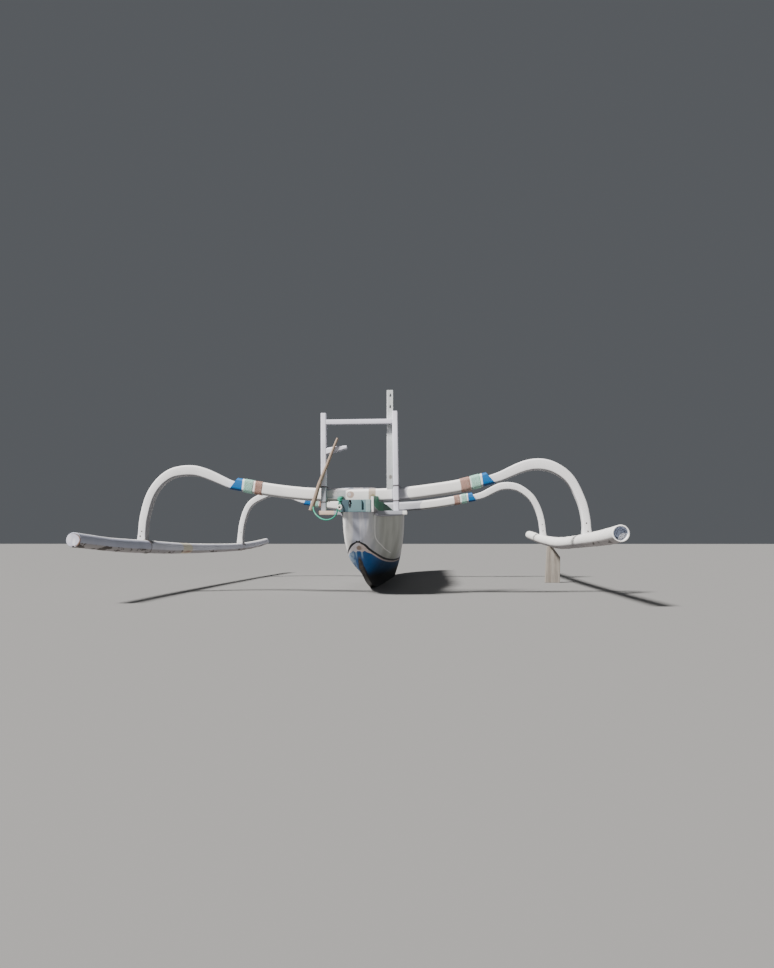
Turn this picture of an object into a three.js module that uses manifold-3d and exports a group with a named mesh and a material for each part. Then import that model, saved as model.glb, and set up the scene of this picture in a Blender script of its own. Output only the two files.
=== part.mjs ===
// Double-outrigger sailing canoe drawn up on a beach, with the board that props one float.
// Millimetres. +X is starboard, +Y is forward, +Z is up. The floor is at Z = 0.

import * as THREE from 'three';
import { mergeVertices } from 'three/addons/utils/BufferGeometryUtils.js';
import Module from 'manifold-3d';

const wasm = await Module();
wasm.setup();

// Driving dimensions
const CLEARANCE = 0.3; // gap that touching pieces keep
const ORIGIN_Y = 1977; // middle of the overall length, measured from the aft boom
const HALF_SPAN = 1800; // hull centreline to the centre of a float
const BOOM_SPACING = 2948; // aft boom to fore boom
const RIG_TILT = THREE.MathUtils.degToRad(0.88); // the propped side stands higher
const RIG_PIVOT = 820; // height of the tilt axis, in the aft boom

const STERN_SHEER = 655; // top edge of the planks at the stern
const WALL = 32; // hull side
const BOTTOM = 46; // hull bottom
const RAIL = { width: 14, depth: 22, drop: 2, ease: 4, skin: 1.5, start: -205 };
const HULL_AXIS = 7; // the hull's centre plane lies this far to starboard of the rig's
const BOOM = { depth: 95, height: 105, corner: 26, inner: 150, steps: 16 };
const SLANT = { tip: 12, inset: 95, half: 62, reach: 200 }; // slanting cut across a boom's end
const SCARF = { from: -120, to: 160, beyond: 200 }; // slanting joint between a boom's halves
const ARCH = { depth: 78, corner: 0.28, plane: 39 }; // corner as a share of the thickness
const FLOAT = { height: 410, sides: 14 };
const CUP = { side: 'starboard', rim: 11, recess: 70 }; // the open aft end of one float
const POST = { width: 43, depth: 44, front: -48, port: -300, starboard: 288.5 };
const ROPE = { diameter: 11, sides: 8, steps: 26 };
const ROOM = { out: 600, aft: -600, fore: 5600, low: -200, high: 1400 }; // larger than the hull

const PAINT = {
  white: { color: 0xe9e6e0, roughness: 0.62 },
  worn: { color: 0xa9a7ab, roughness: 0.8 },
  mint: { color: 0x7d9b9b, roughness: 0.6 },
  green: { color: 0x2f8a62, roughness: 0.6 },
  hullBlue: { color: 0x0d4d8c, roughness: 0.6 },
  bareWood: { color: 0x96826f, roughness: 0.85 },
  rope: { color: 0x46b893, roughness: 0.8 },
};

// Hull stations, from the stern to the bow. The keel and sheer points give a raked plane. The
// last three columns are the handles of the half section, as shares of its width and rise.
const STATION_COLUMNS = [
  'keelY', 'keelZ', 'sheerY', 'sheerZ', 'halfBeam', 'keelHalf', 'lowOut', 'lowUp', 'highUp',
];
const HULL_STATIONS = [
  [-231, 432, -297, STERN_SHEER, 94, 8, 0.5, 0.04, 0.2],
  [-222, 416, -284, STERN_SHEER, 109, 10, 0.5, 0.04, 0.2],
  [-120, 308, -205, STERN_SHEER, 123, 12, 0.47, 0.06, 0.18],
  [60, 210, -20, STERN_SHEER, 149, 15, 0.38, 0.09, 0.16],
  [280, 145, 220, 663, 181, 18, 0.26, 0.15, 0.16],
  [500, 88, 460, 674, 213, 21, 0.15, 0.22, 0.17],
  [800, 34, 780, 689, 246, 26, 0.13, 0.26, 0.18],
  [1100, 0, 1100, 704, 265, 32, 0.18, 0.27, 0.18],
  [1400, 0, 1400, 718, 266, 36, 0.26, 0.26, 0.18],
  [1750, 0, 1750, 732, 252, 38, 0.32, 0.24, 0.18],
  [2100, 0, 2100, 747, 230, 38, 0.35, 0.22, 0.2],
  [2500, 0, 2500, 768, 205, 38, 0.35, 0.2, 0.22],
  [2900, 0, 2900, 794, 180, 38, 0.35, 0.18, 0.24],
  [3300, 0, 3310, 812, 154, 36, 0.35, 0.16, 0.26],
  [3650, 24, 3680, 832, 129, 32, 0.35, 0.14, 0.28],
  [3980, 78, 4040, 856, 104, 28, 0.35, 0.12, 0.3],
  [4300, 165, 4400, 886, 78, 23, 0.35, 0.1, 0.32],
  [4560, 282, 4700, 916, 56, 18, 0.35, 0.08, 0.34],
  [4780, 430, 4940, 944, 39, 14, 0.35, 0.06, 0.36],
  [4940, 600, 5110, 968, 27, 11, 0.35, 0.05, 0.38],
  [5060, 800, 5200, 985, 19, 8, 0.35, 0.04, 0.4],
].map((row) => Object.fromEntries(row.map((value, k) => [STATION_COLUMNS[k], value])));

// Height of the black line, where the dugout log ends and the side planks begin.
const SEAM_LINE = [
  [-420, 432], [-236, 428], [-216, 412], [-195, 398], [-171, 384], [-136, 368], [-60, 349],
  [40, 332], [165, 315], [314, 298], [477, 283], [649, 271], [825, 263], [1020, 258],
  [1300, 257], [1640, 259], [2000, 269], [3000, 330], [4000, 448], [4500, 545], [5000, 760],
  [5300, 900],
];

// Bent arms, each as distance out from the hull, height, and thickness in its plane.
const ARCH_LINES = {
  aft_port: [
    [790, 866, 62], [950, 884, 68], [1086, 917, 76], [1165, 952, 82], [1234, 984, 88],
    [1303, 1013, 91], [1370, 1033, 92], [1440, 1040, 92], [1511, 1036, 91], [1583, 1020, 89],
    [1643, 987, 87], [1690, 947, 85], [1733, 894, 84], [1767, 834, 85], [1792, 765, 86],
    [1810, 695, 86], [1824, 625, 84], [1831, 548, 84], [1835, 480, 84], [1837, 415, 83],
  ],
  aft_starboard: [
    [790, 865, 60], [950, 886, 66], [1071, 914, 76], [1148, 938, 82], [1219, 968, 88],
    [1285, 996, 91], [1349, 1016, 94], [1414, 1026, 95], [1477, 1024, 96], [1541, 1008, 94],
    [1598, 980, 90], [1653, 940, 86], [1696, 893, 81], [1732, 832, 77], [1760, 767, 75],
    [1784, 700, 74], [1799, 633, 73], [1808, 565, 73], [1811, 490, 74], [1812, 415, 75],
  ],
  fore_port: [
    [760, 896, 58], [905, 918, 60], [1042, 941, 68], [1117, 971, 76], [1193, 1005, 82],
    [1264, 1029, 86], [1333, 1041, 88], [1399, 1044, 88], [1464, 1029, 88], [1529, 1003, 84],
    [1582, 977, 80], [1634, 948, 79], [1682, 907, 79], [1719, 852, 78], [1748, 785, 78],
    [1769, 716, 77], [1786, 642, 77], [1795, 569, 77], [1802, 500, 77], [1804, 410, 77],
  ],
  fore_starboard: [
    [760, 896, 64], [905, 919, 68], [1041, 941, 76], [1124, 962, 82], [1200, 998, 86],
    [1267, 1031, 88], [1330, 1057, 90], [1404, 1067, 90], [1471, 1062, 90], [1540, 1043, 88],
    [1596, 1012, 86], [1653, 968, 84], [1705, 912, 82], [1742, 850, 79], [1772, 783, 76],
    [1794, 711, 75], [1809, 637, 74], [1817, 562, 74], [1822, 486, 74], [1824, 410, 74],
  ],
};

// Centrelines of the booms, as distance out from the hull and height.
const BOOM_LINES = {
  aft_port: [[0, 812], [350, 815], [600, 840], [800, 872], [1000, 911], [1090, 929]],
  aft_starboard: [[0, 798], [350, 808], [600, 833], [800, 861], [1000, 908], [1090, 928]],
  fore_port: [[0, 836], [350, 848], [600, 872], [800, 902], [950, 928], [1050, 944]],
  fore_starboard: [[0, 839], [350, 851], [600, 875], [800, 905], [950, 931], [1050, 947]],
};

// Float centrelines, as distance forward, lift above the float's height, and radius.
const FLOAT_LINES = {
  port: [
    [-1246, 54, 52], [-1000, 40, 51], [-700, 23, 51], [-400, 12, 54], [0, 2, 55], [400, -9, 54],
    [800, -17, 51], [1300, -22, 49], [1900, -23, 47], [2400, -22, 46], [2800, -18, 46],
    [3173, -8, 46], [3500, 4, 46], [3800, 19, 45], [4050, 35, 44], [4282, 52, 42],
  ],
  starboard: [
    [-1246, 39, 57], [-900, 23, 58], [-560, 12, 57], [-300, 5, 56], [0, -2, 55], [300, -9, 55],
    [560, -14, 55], [820, -19, 56], [1120, -24, 57], [1450, -25, 58], [1800, -20, 57],
    [2200, -9, 55], [2619, 4, 54], [2948, 16, 54], [3300, 32, 55], [3618, 48, 55],
    [3950, 65, 55], [4282, 82, 54],
  ],
};

const xyz = (x, y, z) => new THREE.Vector3(x, y, z);

/** Flips a closed body whose faces point inwards, as a mirrored one's do. */
function facingOut(geometry) {
  const position = geometry.attributes.position;
  const index = geometry.index.array;
  const corner = [xyz(0, 0, 0), xyz(0, 0, 0), xyz(0, 0, 0)];
  let volume = 0;
  for (let k = 0; k < index.length; k += 3) {
    corner.forEach((point, n) => point.fromBufferAttribute(position, index[k + n]));
    volume += corner[0].dot(corner[1].clone().cross(corner[2]));
  }
  if (volume < 0) {
    for (let k = 0; k < index.length; k += 3) {
      [index[k], index[k + 1]] = [index[k + 1], index[k]];
    }
  }
  return geometry;
}

/** Closed body through rings of points, all with the same number of points. */
function loft(rings) {
  const count = rings[0].length;
  const index = [];
  for (let k = 0; k < rings.length - 1; k += 1) {
    for (let i = 0; i < count; i += 1) {
      const a = k * count + i;
      const b = k * count + ((i + 1) % count);
      index.push(a, b, b + count, a, b + count, a + count);
    }
  }
  const last = (rings.length - 1) * count;
  for (let i = 1; i < count - 1; i += 1) {
    index.push(0, i + 1, i);
    index.push(last, last + i, last + i + 1);
  }
  const geometry = new THREE.BufferGeometry();
  const values = rings.flat().flatMap((point) => point.toArray());
  geometry.setAttribute('position', new THREE.Float32BufferAttribute(values, 3));
  geometry.setIndex(index);
  return facingOut(geometry);
}

/** Sweeps an outline along a flat curve; side is the direction square to its plane. */
function sweep(curve, steps, side, outline) {
  const rings = [];
  for (let k = 0; k <= steps; k += 1) {
    const centre = curve.getPoint(k / steps);
    const normal = curve.getTangent(k / steps).cross(side).normalize();
    const place = ([a, b]) => centre.clone().addScaledVector(side, a).addScaledVector(normal, b);
    rings.push(outline(k / steps).map(place));
  }
  return loft(rings);
}

/** Rectangle with cut corners, centred, as a list of points. */
function chamfered(width, height, corner) {
  const a = width / 2;
  const b = height / 2;
  const c = corner;
  return [
    [a, -b + c], [a, b - c], [a - c, b], [-a + c, b],
    [-a, b - c], [-a, -b + c], [-a + c, -b], [a - c, -b],
  ];
}

/** Box between two corners with its long edges eased, extruded along one axis. */
function board(low, high, ease = 3) {
  const size = high.clone().sub(low);
  const shape = new THREE.Shape(
    chamfered(size.x, size.z, ease).map(([a, b]) => new THREE.Vector2(a, b)),
  );
  const geometry = new THREE.ExtrudeGeometry(shape, { depth: size.y, bevelEnabled: false });
  geometry.rotateX(Math.PI / 2);
  geometry.translate((low.x + high.x) / 2, high.y, (low.z + high.z) / 2);
  return geometry;
}

/** Box whose upright edges are eased, for posts and blocks. */
function upright(low, high, ease = 4) {
  const size = high.clone().sub(low);
  const shape = new THREE.Shape(
    chamfered(size.x, size.y, ease).map(([a, b]) => new THREE.Vector2(a, b)),
  );
  const geometry = new THREE.ExtrudeGeometry(shape, { depth: size.z, bevelEnabled: false });
  geometry.translate((low.x + high.x) / 2, (low.y + high.y) / 2, low.z);
  return geometry;
}

/** Solid for boolean work from a closed geometry. */
function toSolid(geometry) {
  const bare = geometry.clone();
  bare.deleteAttribute('normal');
  bare.deleteAttribute('uv');
  const merged = mergeVertices(bare, 1e-3);
  return new wasm.Manifold(new wasm.Mesh({
    numProp: 3,
    vertProperties: new Float32Array(merged.attributes.position.array),
    triVerts: new Uint32Array(merged.index.array),
  }));
}

/** Geometry of a boolean result. */
function toGeometry(solid) {
  const mesh = solid.getMesh();
  const geometry = new THREE.BufferGeometry();
  geometry.setAttribute('position', new THREE.BufferAttribute(mesh.vertProperties, 3));
  geometry.setIndex(new THREE.BufferAttribute(mesh.triVerts, 1));
  return geometry;
}

/** First geometry with the others cut away. */
function cut(geometry, ...tools) {
  const start = toSolid(geometry);
  return toGeometry(tools.reduce((solid, tool) => solid.subtract(toSolid(tool)), start));
}

const common = (a, b) => toGeometry(toSolid(a).intersect(toSolid(b)));
const block = (low, high) => upright(low, high, 0.01);

/** Value of a station column at a distance forward, along the sheer. */
function alongSheer(y, column) {
  const row = HULL_STATIONS;
  const k = Math.min(row.length - 2, Math.max(0, row.findIndex((s) => s.sheerY > y) - 1));
  const share = THREE.MathUtils.clamp((y - row[k].sheerY) / (row[k + 1].sheerY - row[k].sheerY), 0, 1);
  return THREE.MathUtils.lerp(row[k][column], row[k + 1][column], share);
}

const SECTION = { highOut: 1.02, keelInset: 0.3, keelLeast: 4, points: 10 };

/** Half section of the hull at a station, from the keel up to the sheer. */
function halfSection(station, inset, bottom) {
  const beam = station.halfBeam - inset;
  const keel = Math.max(SECTION.keelLeast, station.keelHalf - inset * SECTION.keelInset);
  const low = station.keelZ + bottom;
  const rise = station.sheerZ - low;
  const curve = new THREE.CubicBezierCurve(
    new THREE.Vector2(keel, low),
    new THREE.Vector2(keel + (beam - keel) * station.lowOut, low + rise * station.lowUp),
    new THREE.Vector2(beam * SECTION.highOut, low + rise * station.highUp),
    new THREE.Vector2(beam, station.sheerZ),
  );
  const rake = (station.sheerY - station.keelY) / (station.sheerZ - station.keelZ);
  const place = (p) => xyz(p.x, station.keelY + (p.y - station.keelZ) * rake, p.y);
  return curve.getPoints(SECTION.points).map(place);
}

/** Whole section of the hull from its half, about the hull's own centre plane. */
function closedRing(half) {
  const right = half.map((p) => xyz(HULL_AXIS + p.x, p.y, p.z));
  const left = half.map((p) => xyz(HULL_AXIS - p.x, p.y, p.z));
  return [...right, ...left.reverse()];
}

/** Outside of the hull as one body. */
function hullOutside() {
  return loft(HULL_STATIONS.map((station) => closedRing(halfSection(station, 0, 0))));
}

/** Hollow of the hull, open through the top; grow makes it larger all round. */
function hullHollow(grow = 0) {
  const rows = HULL_STATIONS.slice(2, -3);
  const mouth = 60; // above the sheer, so that the top is open
  return loft(rows.map((station) => {
    const half = halfSection(station, WALL - grow, BOTTOM - grow);
    const top = half.at(-1).clone();
    top.z += mouth;
    return closedRing([...half, top]);
  }));
}

/** Everything below the seam, moved up or down by an offset. */
function belowSeam(offset) {
  const curve = new THREE.CatmullRomCurve3(
    SEAM_LINE.map(([y, z]) => xyz(y, z, 0)), false, 'centripetal',
  );
  const line = curve.getPoints(2 * (SEAM_LINE.length - 1));
  const shape = new THREE.Shape([
    ...line.map((p) => new THREE.Vector2(p.x, p.y + offset)),
    new THREE.Vector2(line.at(-1).x, ROOM.low),
    new THREE.Vector2(line[0].x, ROOM.low),
  ]);
  const geometry = new THREE.ExtrudeGeometry(shape, { depth: 2 * ROOM.out, bevelEnabled: false });
  geometry.translate(0, 0, -ROOM.out);
  geometry.applyMatrix4(new THREE.Matrix4().makeBasis(xyz(0, 1, 0), xyz(0, 0, 1), xyz(1, 0, 0)));
  return geometry;
}

/** Strip along the sheer: inner and outer offsets from the half beam, low and high from the sheer. */
function sheerStrip(side, stations, section) {
  return loft(stations.map((y) => {
    const beam = alongSheer(y, 'halfBeam');
    const sheer = alongSheer(y, 'sheerZ');
    return section(y).map(([out, up]) => xyz(HULL_AXIS + side * (beam + out), y, sheer + up));
  }));
}

/** Gunwale rail outside the top edge of a side plank. */
function rail(side) {
  const stations = HULL_STATIONS.slice(0, -2).map((station) => station.sheerY);
  const { skin, ease } = RAIL;
  const outer = skin + RAIL.width;
  const top = -RAIL.drop;
  const foot = top - RAIL.depth;
  return sheerStrip(side, stations.filter((y) => y >= RAIL.start), () => [
    [skin, foot], [outer - ease, foot], [outer, foot + ease],
    [outer, top - ease], [outer - ease, top], [skin, top],
  ]);
}

// Raised board at the stern: distance forward, height of its top and distance of its outer face.
const WASHBOARD_LINE = [
  [-308, 776, 137], [-200, 784, 138], [-130, 789, 144], [-20, 793, 155], [60, 786, 164],
  [120, 768, 171], [190, 749, 181], [320, 737, 198], [440, 722, 213], [560, 705, 227],
];
const WASHBOARD = { thickness: 20, ease: 4, steps: 18 };

/** Raised board on the stern part of the sheer, which carries the aft boom. */
function washboard(side) {
  const { thickness, ease, steps } = WASHBOARD;
  const line = new THREE.CatmullRomCurve3(WASHBOARD_LINE.map(([y, z, x]) => xyz(x, y, z)));
  return loft(line.getPoints(steps).map(({ x: outer, y, z: top }) => {
    const low = alongSheer(y, 'sheerZ') + CLEARANCE;
    const inner = outer - thickness;
    const edges = [
      [inner, low], [outer, low], [outer, top - ease], [outer - ease, top], [inner + ease, top],
      [inner, top - ease],
    ];
    return edges.map(([x, z]) => xyz(side * x, y, z));
  }));
}

/** Boom outline swept from the hull out to one side; grow makes it larger all round. */
function boomSide(line, side, grow = 0) {
  const inner = [-side * BOOM.inner, line[0][1]];
  const points = [inner, ...line.map(([x, z]) => [side * x, z])].map(([x, z]) => xyz(x, 0, z));
  const curve = new THREE.CatmullRomCurve3(points, false, 'centripetal');
  const outline = chamfered(BOOM.depth + 2 * grow, BOOM.height + 2 * grow, BOOM.corner);
  return sweep(curve, BOOM.steps, xyz(0, 1, 0), () => outline);
}

/** Wedge that slants the outer end of a boom, so that its underside is the longer. */
function slantTool(line, side) {
  const [x, z] = line.at(-1);
  const { tip, inset, half, reach } = SLANT;
  const shape = new THREE.Shape([
    new THREE.Vector2(side * (x - tip), z - half),
    new THREE.Vector2(side * (x - tip - inset), z + half),
    new THREE.Vector2(side * (x + reach), z + half),
    new THREE.Vector2(side * (x + reach), z - half),
  ]);
  const geometry = new THREE.ExtrudeGeometry(shape, { depth: reach, bevelEnabled: false });
  geometry.rotateX(Math.PI / 2);
  geometry.translate(0, reach / 2, 0);
  return geometry;
}

/** Prism on one side of the slanting scarf that joins the two halves of a boom. */
function scarfTool(side) {
  const { from, to, beyond } = SCARF;
  const slope = BOOM.depth / (to - from);
  const edge = (x) => new THREE.Vector2(x, (x - from) * slope - (BOOM.depth - side * CLEARANCE) / 2);
  const shape = new THREE.Shape([
    edge(from - beyond),
    edge(to + beyond),
    new THREE.Vector2(to + beyond, -side * 2 * beyond),
    new THREE.Vector2(from - beyond, -side * 2 * beyond),
  ]);
  const geometry = new THREE.ExtrudeGeometry(shape, { depth: 2 * beyond, bevelEnabled: false });
  geometry.translate(0, 0, RIG_PIVOT - beyond);
  return geometry;
}

/** Bent arm from the boom's end over and down to the float. */
function archBody(line, side, grow = 0) {
  const [tail, ...rest] = line;
  const points = [[tail[0] - grow, tail[1]], ...rest].map(([x, z]) => xyz(side * x, ARCH.plane, z));
  const curve = new THREE.CatmullRomCurve3(points, false, 'centripetal');
  const outline = (u) => {
    const at = u * (line.length - 1);
    const k = Math.min(line.length - 2, Math.floor(at));
    const height = THREE.MathUtils.lerp(line[k][2], line[k + 1][2], at - k);
    return chamfered(ARCH.depth + 2 * grow, height + 2 * grow, ARCH.corner * height);
  };
  return sweep(curve, 2 * (line.length - 1), xyz(0, 1, 0), outline);
}

/** Round pole of a float, flat or cupped at its aft end; grow makes it larger all round. */
function floatBody(line, { grow = 0, cupped = false } = {}) {
  const curve = new THREE.CatmullRomCurve3(
    line.map(([y, lift]) => xyz(0, y, FLOAT.height + lift)), false, 'centripetal',
  );
  const last = line.length - 1;
  const radiusAt = (u) => {
    const k = Math.min(last - 1, Math.floor(u * last));
    return THREE.MathUtils.lerp(line[k][2], line[k + 1][2], u * last - k) + grow;
  };
  const circle = (u, radius, back = 0) => {
    const centre = curve.getPoint(u);
    const tangent = curve.getTangent(u);
    const normal = tangent.clone().cross(xyz(1, 0, 0)).normalize();
    centre.addScaledVector(tangent, back);
    return Array.from({ length: FLOAT.sides }, (_, n) => {
      const angle = (2 * Math.PI * (n + 0.5)) / FLOAT.sides;
      const flat = centre.clone().addScaledVector(normal, radius * Math.sin(angle));
      return flat.add(xyz(radius * Math.cos(angle), 0, 0));
    });
  };
  const steps = line.length + 5;
  const rings = Array.from({ length: steps + 1 }, (_, k) => circle(k / steps, radiusAt(k / steps)));
  if (cupped) {
    const bore = line[0][2] - CUP.rim;
    rings.unshift(circle(0, bore));
    rings.unshift(circle(0, bore, CUP.recess));
  }
  return loft(rings);
}

const hull = new THREE.Group();
const rig = new THREE.Group();
const tilt = new THREE.Group();
tilt.position.z = RIG_PIVOT;
tilt.rotation.y = -RIG_TILT;
rig.position.z = -RIG_PIVOT;
tilt.add(rig);

/** Adds one named piece with its own paint to a group. */
function piece(group, name, geometry, paint) {
  const solid = new THREE.Mesh(geometry, new THREE.MeshStandardMaterial({ metalness: 0, ...PAINT[paint] }));
  solid.name = name;
  group.add(solid);
}

const SIDES = [{ word: 'port', sign: -1 }, { word: 'starboard', sign: 1 }];
const BOOMS = [{ word: 'aft', y: 0 }, { word: 'fore', y: BOOM_SPACING }];

/** A tool of the tilted rig, in the hull's coordinates. */
function inHull(geometry) {
  const matrix = new THREE.Matrix4().makeTranslation(0, 0, RIG_PIVOT);
  matrix.multiply(new THREE.Matrix4().makeRotationY(-RIG_TILT));
  matrix.multiply(new THREE.Matrix4().makeTranslation(0, 0, -RIG_PIVOT));
  return geometry.clone().applyMatrix4(matrix);
}

// Floats, bent arms and booms, all in the tilted rig
for (const side of SIDES) {
  const line = FLOAT_LINES[side.word];
  const float = floatBody(line, { cupped: side.word === CUP.side });
  piece(rig, `float_${side.word}`, float.translate(side.sign * HALF_SPAN, 0, 0), 'white');
  const socket = floatBody(line, { grow: CLEARANCE }).translate(side.sign * HALF_SPAN, 0, 0);
  for (const boom of BOOMS) {
    const name = `${boom.word}_${side.word}`;
    const arm = archBody(ARCH_LINES[name], side.sign).translate(0, boom.y, 0);
    piece(rig, `arch_${name}`, cut(arm, socket), 'white');
    const half = cut(
      boomSide(BOOM_LINES[name], side.sign),
      slantTool(BOOM_LINES[name], side.sign),
      scarfTool(-side.sign),
      archBody(ARCH_LINES[name], side.sign, CLEARANCE),
    );
    piece(rig, `boom_${name}`, half.translate(0, boom.y, 0), 'white');
  }
}

// Cutters that leave the boom seats in the hull
const boomSeats = BOOMS.flatMap((boom) => SIDES.map((side) => {
  const line = BOOM_LINES[`${boom.word}_${side.word}`];
  return inHull(boomSide(line, side.sign, CLEARANCE).translate(0, boom.y, 0));
}));

// Board across the sheer that the posts stand on, let into the planks
const FOOT_BOARD = { low: xyz(-322, -122, 641), high: xyz(386, -36, 672) };
const footBoardSeat = block(
  FOOT_BOARD.low.clone().addScalar(-CLEARANCE),
  FOOT_BOARD.high.clone().addScalar(CLEARANCE),
);

// Dugout log, side planks, rails and the stern's raised boards
const shell = cut(hullOutside(), hullHollow());
piece(hull, 'hull_log', common(shell, belowSeam(-CLEARANCE / 2)), 'hullBlue');
const upper = cut(shell, belowSeam(CLEARANCE / 2));
for (const side of SIDES) {
  const near = HULL_AXIS + side.sign * CLEARANCE / 2;
  const far = side.sign * ROOM.out;
  const half = block(
    xyz(Math.min(near, far), ROOM.aft, ROOM.low),
    xyz(Math.max(near, far), ROOM.fore, ROOM.high),
  );
  const seats = [footBoardSeat, ...boomSeats];
  piece(hull, `hull_plank_${side.word}`, cut(common(upper, half), ...seats), 'white');
  piece(hull, `gunwale_rail_${side.word}`, cut(rail(side.sign), ...seats), 'worn');
  piece(hull, `stern_washboard_${side.word}`, cut(washboard(side.sign), ...seats), 'green');
}
piece(hull, 'frame_foot_board', board(FOOT_BOARD.low, FOOT_BOARD.high), 'worn');

// Block across the stern, with its two slots
const STERN_BLOCK = { half: 116, aft: -314, fore: -276, top: 751 };
const SLOTS = [{ left: -48, right: -31, low: 716 }, { left: 45, right: 63, low: 670 }];
const SLOT_DEPTH = 22;
const slotTools = SLOTS.map(({ left, right, low }) => block(
  xyz(left, STERN_BLOCK.aft - SLOT_DEPTH, low),
  xyz(right, STERN_BLOCK.aft + SLOT_DEPTH, STERN_BLOCK.top + SLOT_DEPTH),
));
const sternBlock = cut(upright(
  xyz(-STERN_BLOCK.half, STERN_BLOCK.aft, STERN_SHEER + CLEARANCE),
  xyz(STERN_BLOCK.half, STERN_BLOCK.fore, STERN_BLOCK.top),
  3,
), ...slotTools);
piece(hull, 'stern_block', sternBlock, 'mint');

// Posts, tall board, crossbar and peg of the frame at the stern
const POSTS = [
  { name: 'frame_post_port', x: POST.port, top: 1470 },
  { name: 'frame_post_starboard', x: POST.starboard, top: 1480 },
];
for (const post of POSTS) {
  piece(hull, post.name, upright(
    xyz(post.x - POST.width / 2, POST.front - POST.depth, FOOT_BOARD.high.z + CLEARANCE),
    xyz(post.x + POST.width / 2, POST.front, post.top),
  ), 'white');
}
const INSIDE = {
  port: POST.port + POST.width / 2 + CLEARANCE,
  starboard: POST.starboard - POST.width / 2 - CLEARANCE,
};
const CROSSBAR = { aft: POST.front - 42, fore: POST.front + 2.7, low: 1378, high: 1416 };
piece(hull, 'frame_crossbar', board(
  xyz(INSIDE.port, CROSSBAR.aft, CROSSBAR.low),
  xyz(INSIDE.starboard, CROSSBAR.fore, CROSSBAR.high),
), 'white');
const TALL_BOARD = {
  left: 220, right: 271, aft: POST.front + 3, fore: POST.front + 27, low: 846, high: 1660,
};
const tallBoard = upright(
  xyz(TALL_BOARD.left, TALL_BOARD.aft, TALL_BOARD.low),
  xyz(TALL_BOARD.right, TALL_BOARD.fore, TALL_BOARD.high),
  2,
);
const BOARD_HOLES = [
  { x: 249, z: 1612, radius: 9 }, { x: 250, z: 1624, radius: 6 }, { x: 248, z: 1531, radius: 6 },
];
const boardHoles = BOARD_HOLES.map(({ x, z, radius }) => (
  new THREE.CylinderGeometry(radius, radius, 100, 10).translate(x, POST.front, z)
));
piece(hull, 'frame_tall_board', cut(tallBoard, boomSeats[1], ...boardHoles), 'white');

const PEG = [
  { x: INSIDE.port, z: 1155, half: 28 },
  { x: -180, z: 1176, half: 23 },
  { x: -104, z: 1188, half: 15 },
];
const PEG_SECTION = { depth: 40, corner: 8, middle: POST.front - POST.depth / 2 };
piece(hull, 'frame_peg', loft(PEG.map(({ x, z, half }) => (
  chamfered(PEG_SECTION.depth, 2 * half, PEG_SECTION.corner)
    .map(([a, b]) => xyz(x, PEG_SECTION.middle + a, z + b))
))), 'white');

// Pole that leans flat against the aft face of the port post
const POLE = { foot: xyz(-367, 0, 690), top: xyz(-171, 0, 1262), footRadius: 19, topRadius: 9 };
const postBack = POST.front - POST.depth - CLEARANCE;
POLE.foot.y = postBack - POLE.footRadius;
POLE.top.y = postBack - POLE.topRadius;
const poleAxis = POLE.top.clone().sub(POLE.foot);
const pole = new THREE.CylinderGeometry(POLE.topRadius, POLE.footRadius, poleAxis.length(), 14, 3);
pole.applyQuaternion(new THREE.Quaternion().setFromUnitVectors(xyz(0, 1, 0), poleAxis.clone().normalize()));
pole.translate(...POLE.foot.clone().lerp(POLE.top, 0.5).toArray());
piece(hull, 'leaning_pole', pole, 'bareWood');

// Seats, floor boards and mast step, trimmed to the inside of the hull
const inside = hullHollow(-CLEARANCE);
const THWARTS = [
  { name: 'thwart_aft', y: 620, z: 560, width: 150 },
  { name: 'thwart_middle', y: 1560, z: 585, width: 160 },
  { name: 'thwart_mast', y: 2660, z: 640, width: 190 },
];
const SEAT_THICKNESS = 24;
const MAST_HOLE = { radius: 31, sides: 16 };
for (const { name, y, z, width } of THWARTS) {
  const seat = common(board(
    xyz(-ROOM.out, y - width / 2, z),
    xyz(ROOM.out, y + width / 2, z + SEAT_THICKNESS),
  ), inside);
  const hole = new THREE.CylinderGeometry(
    MAST_HOLE.radius, MAST_HOLE.radius, 4 * SEAT_THICKNESS, MAST_HOLE.sides,
  );
  hole.rotateX(Math.PI / 2);
  hole.translate(HULL_AXIS, y, z);
  piece(hull, name, name === 'thwart_mast' ? cut(seat, hole) : seat, 'worn');
}
const FLOOR_BOARD = { low: 178, high: 192, aft: 1000, fore: 3100, width: 98 };
for (const side of SIDES) {
  const near = HULL_AXIS + side.sign * CLEARANCE / 2;
  const far = near + side.sign * FLOOR_BOARD.width;
  const floor = board(
    xyz(Math.min(near, far), FLOOR_BOARD.aft, FLOOR_BOARD.low),
    xyz(Math.max(near, far), FLOOR_BOARD.fore, FLOOR_BOARD.high),
  );
  piece(hull, `floor_board_${side.word}`, common(floor, inside), 'bareWood');
}
const STEP = { half: 90, aft: 2580, fore: 2740, base: FLOOR_BOARD.high + CLEARANCE, height: 46 };
const step = upright(
  xyz(HULL_AXIS - STEP.half, STEP.aft, STEP.base),
  xyz(HULL_AXIS + STEP.half, STEP.fore, STEP.base + STEP.height),
  8,
);
const SOCKET = { half: 26, middle: 2660, floor: 14 };
const stepSocket = block(
  xyz(HULL_AXIS - SOCKET.half, SOCKET.middle - SOCKET.half, STEP.base + SOCKET.floor),
  xyz(HULL_AXIS + SOCKET.half, SOCKET.middle + SOCKET.half, STEP.base + 2 * STEP.height),
);
piece(hull, 'mast_step', cut(common(step, inside), stepSocket), 'bareWood');

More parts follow.
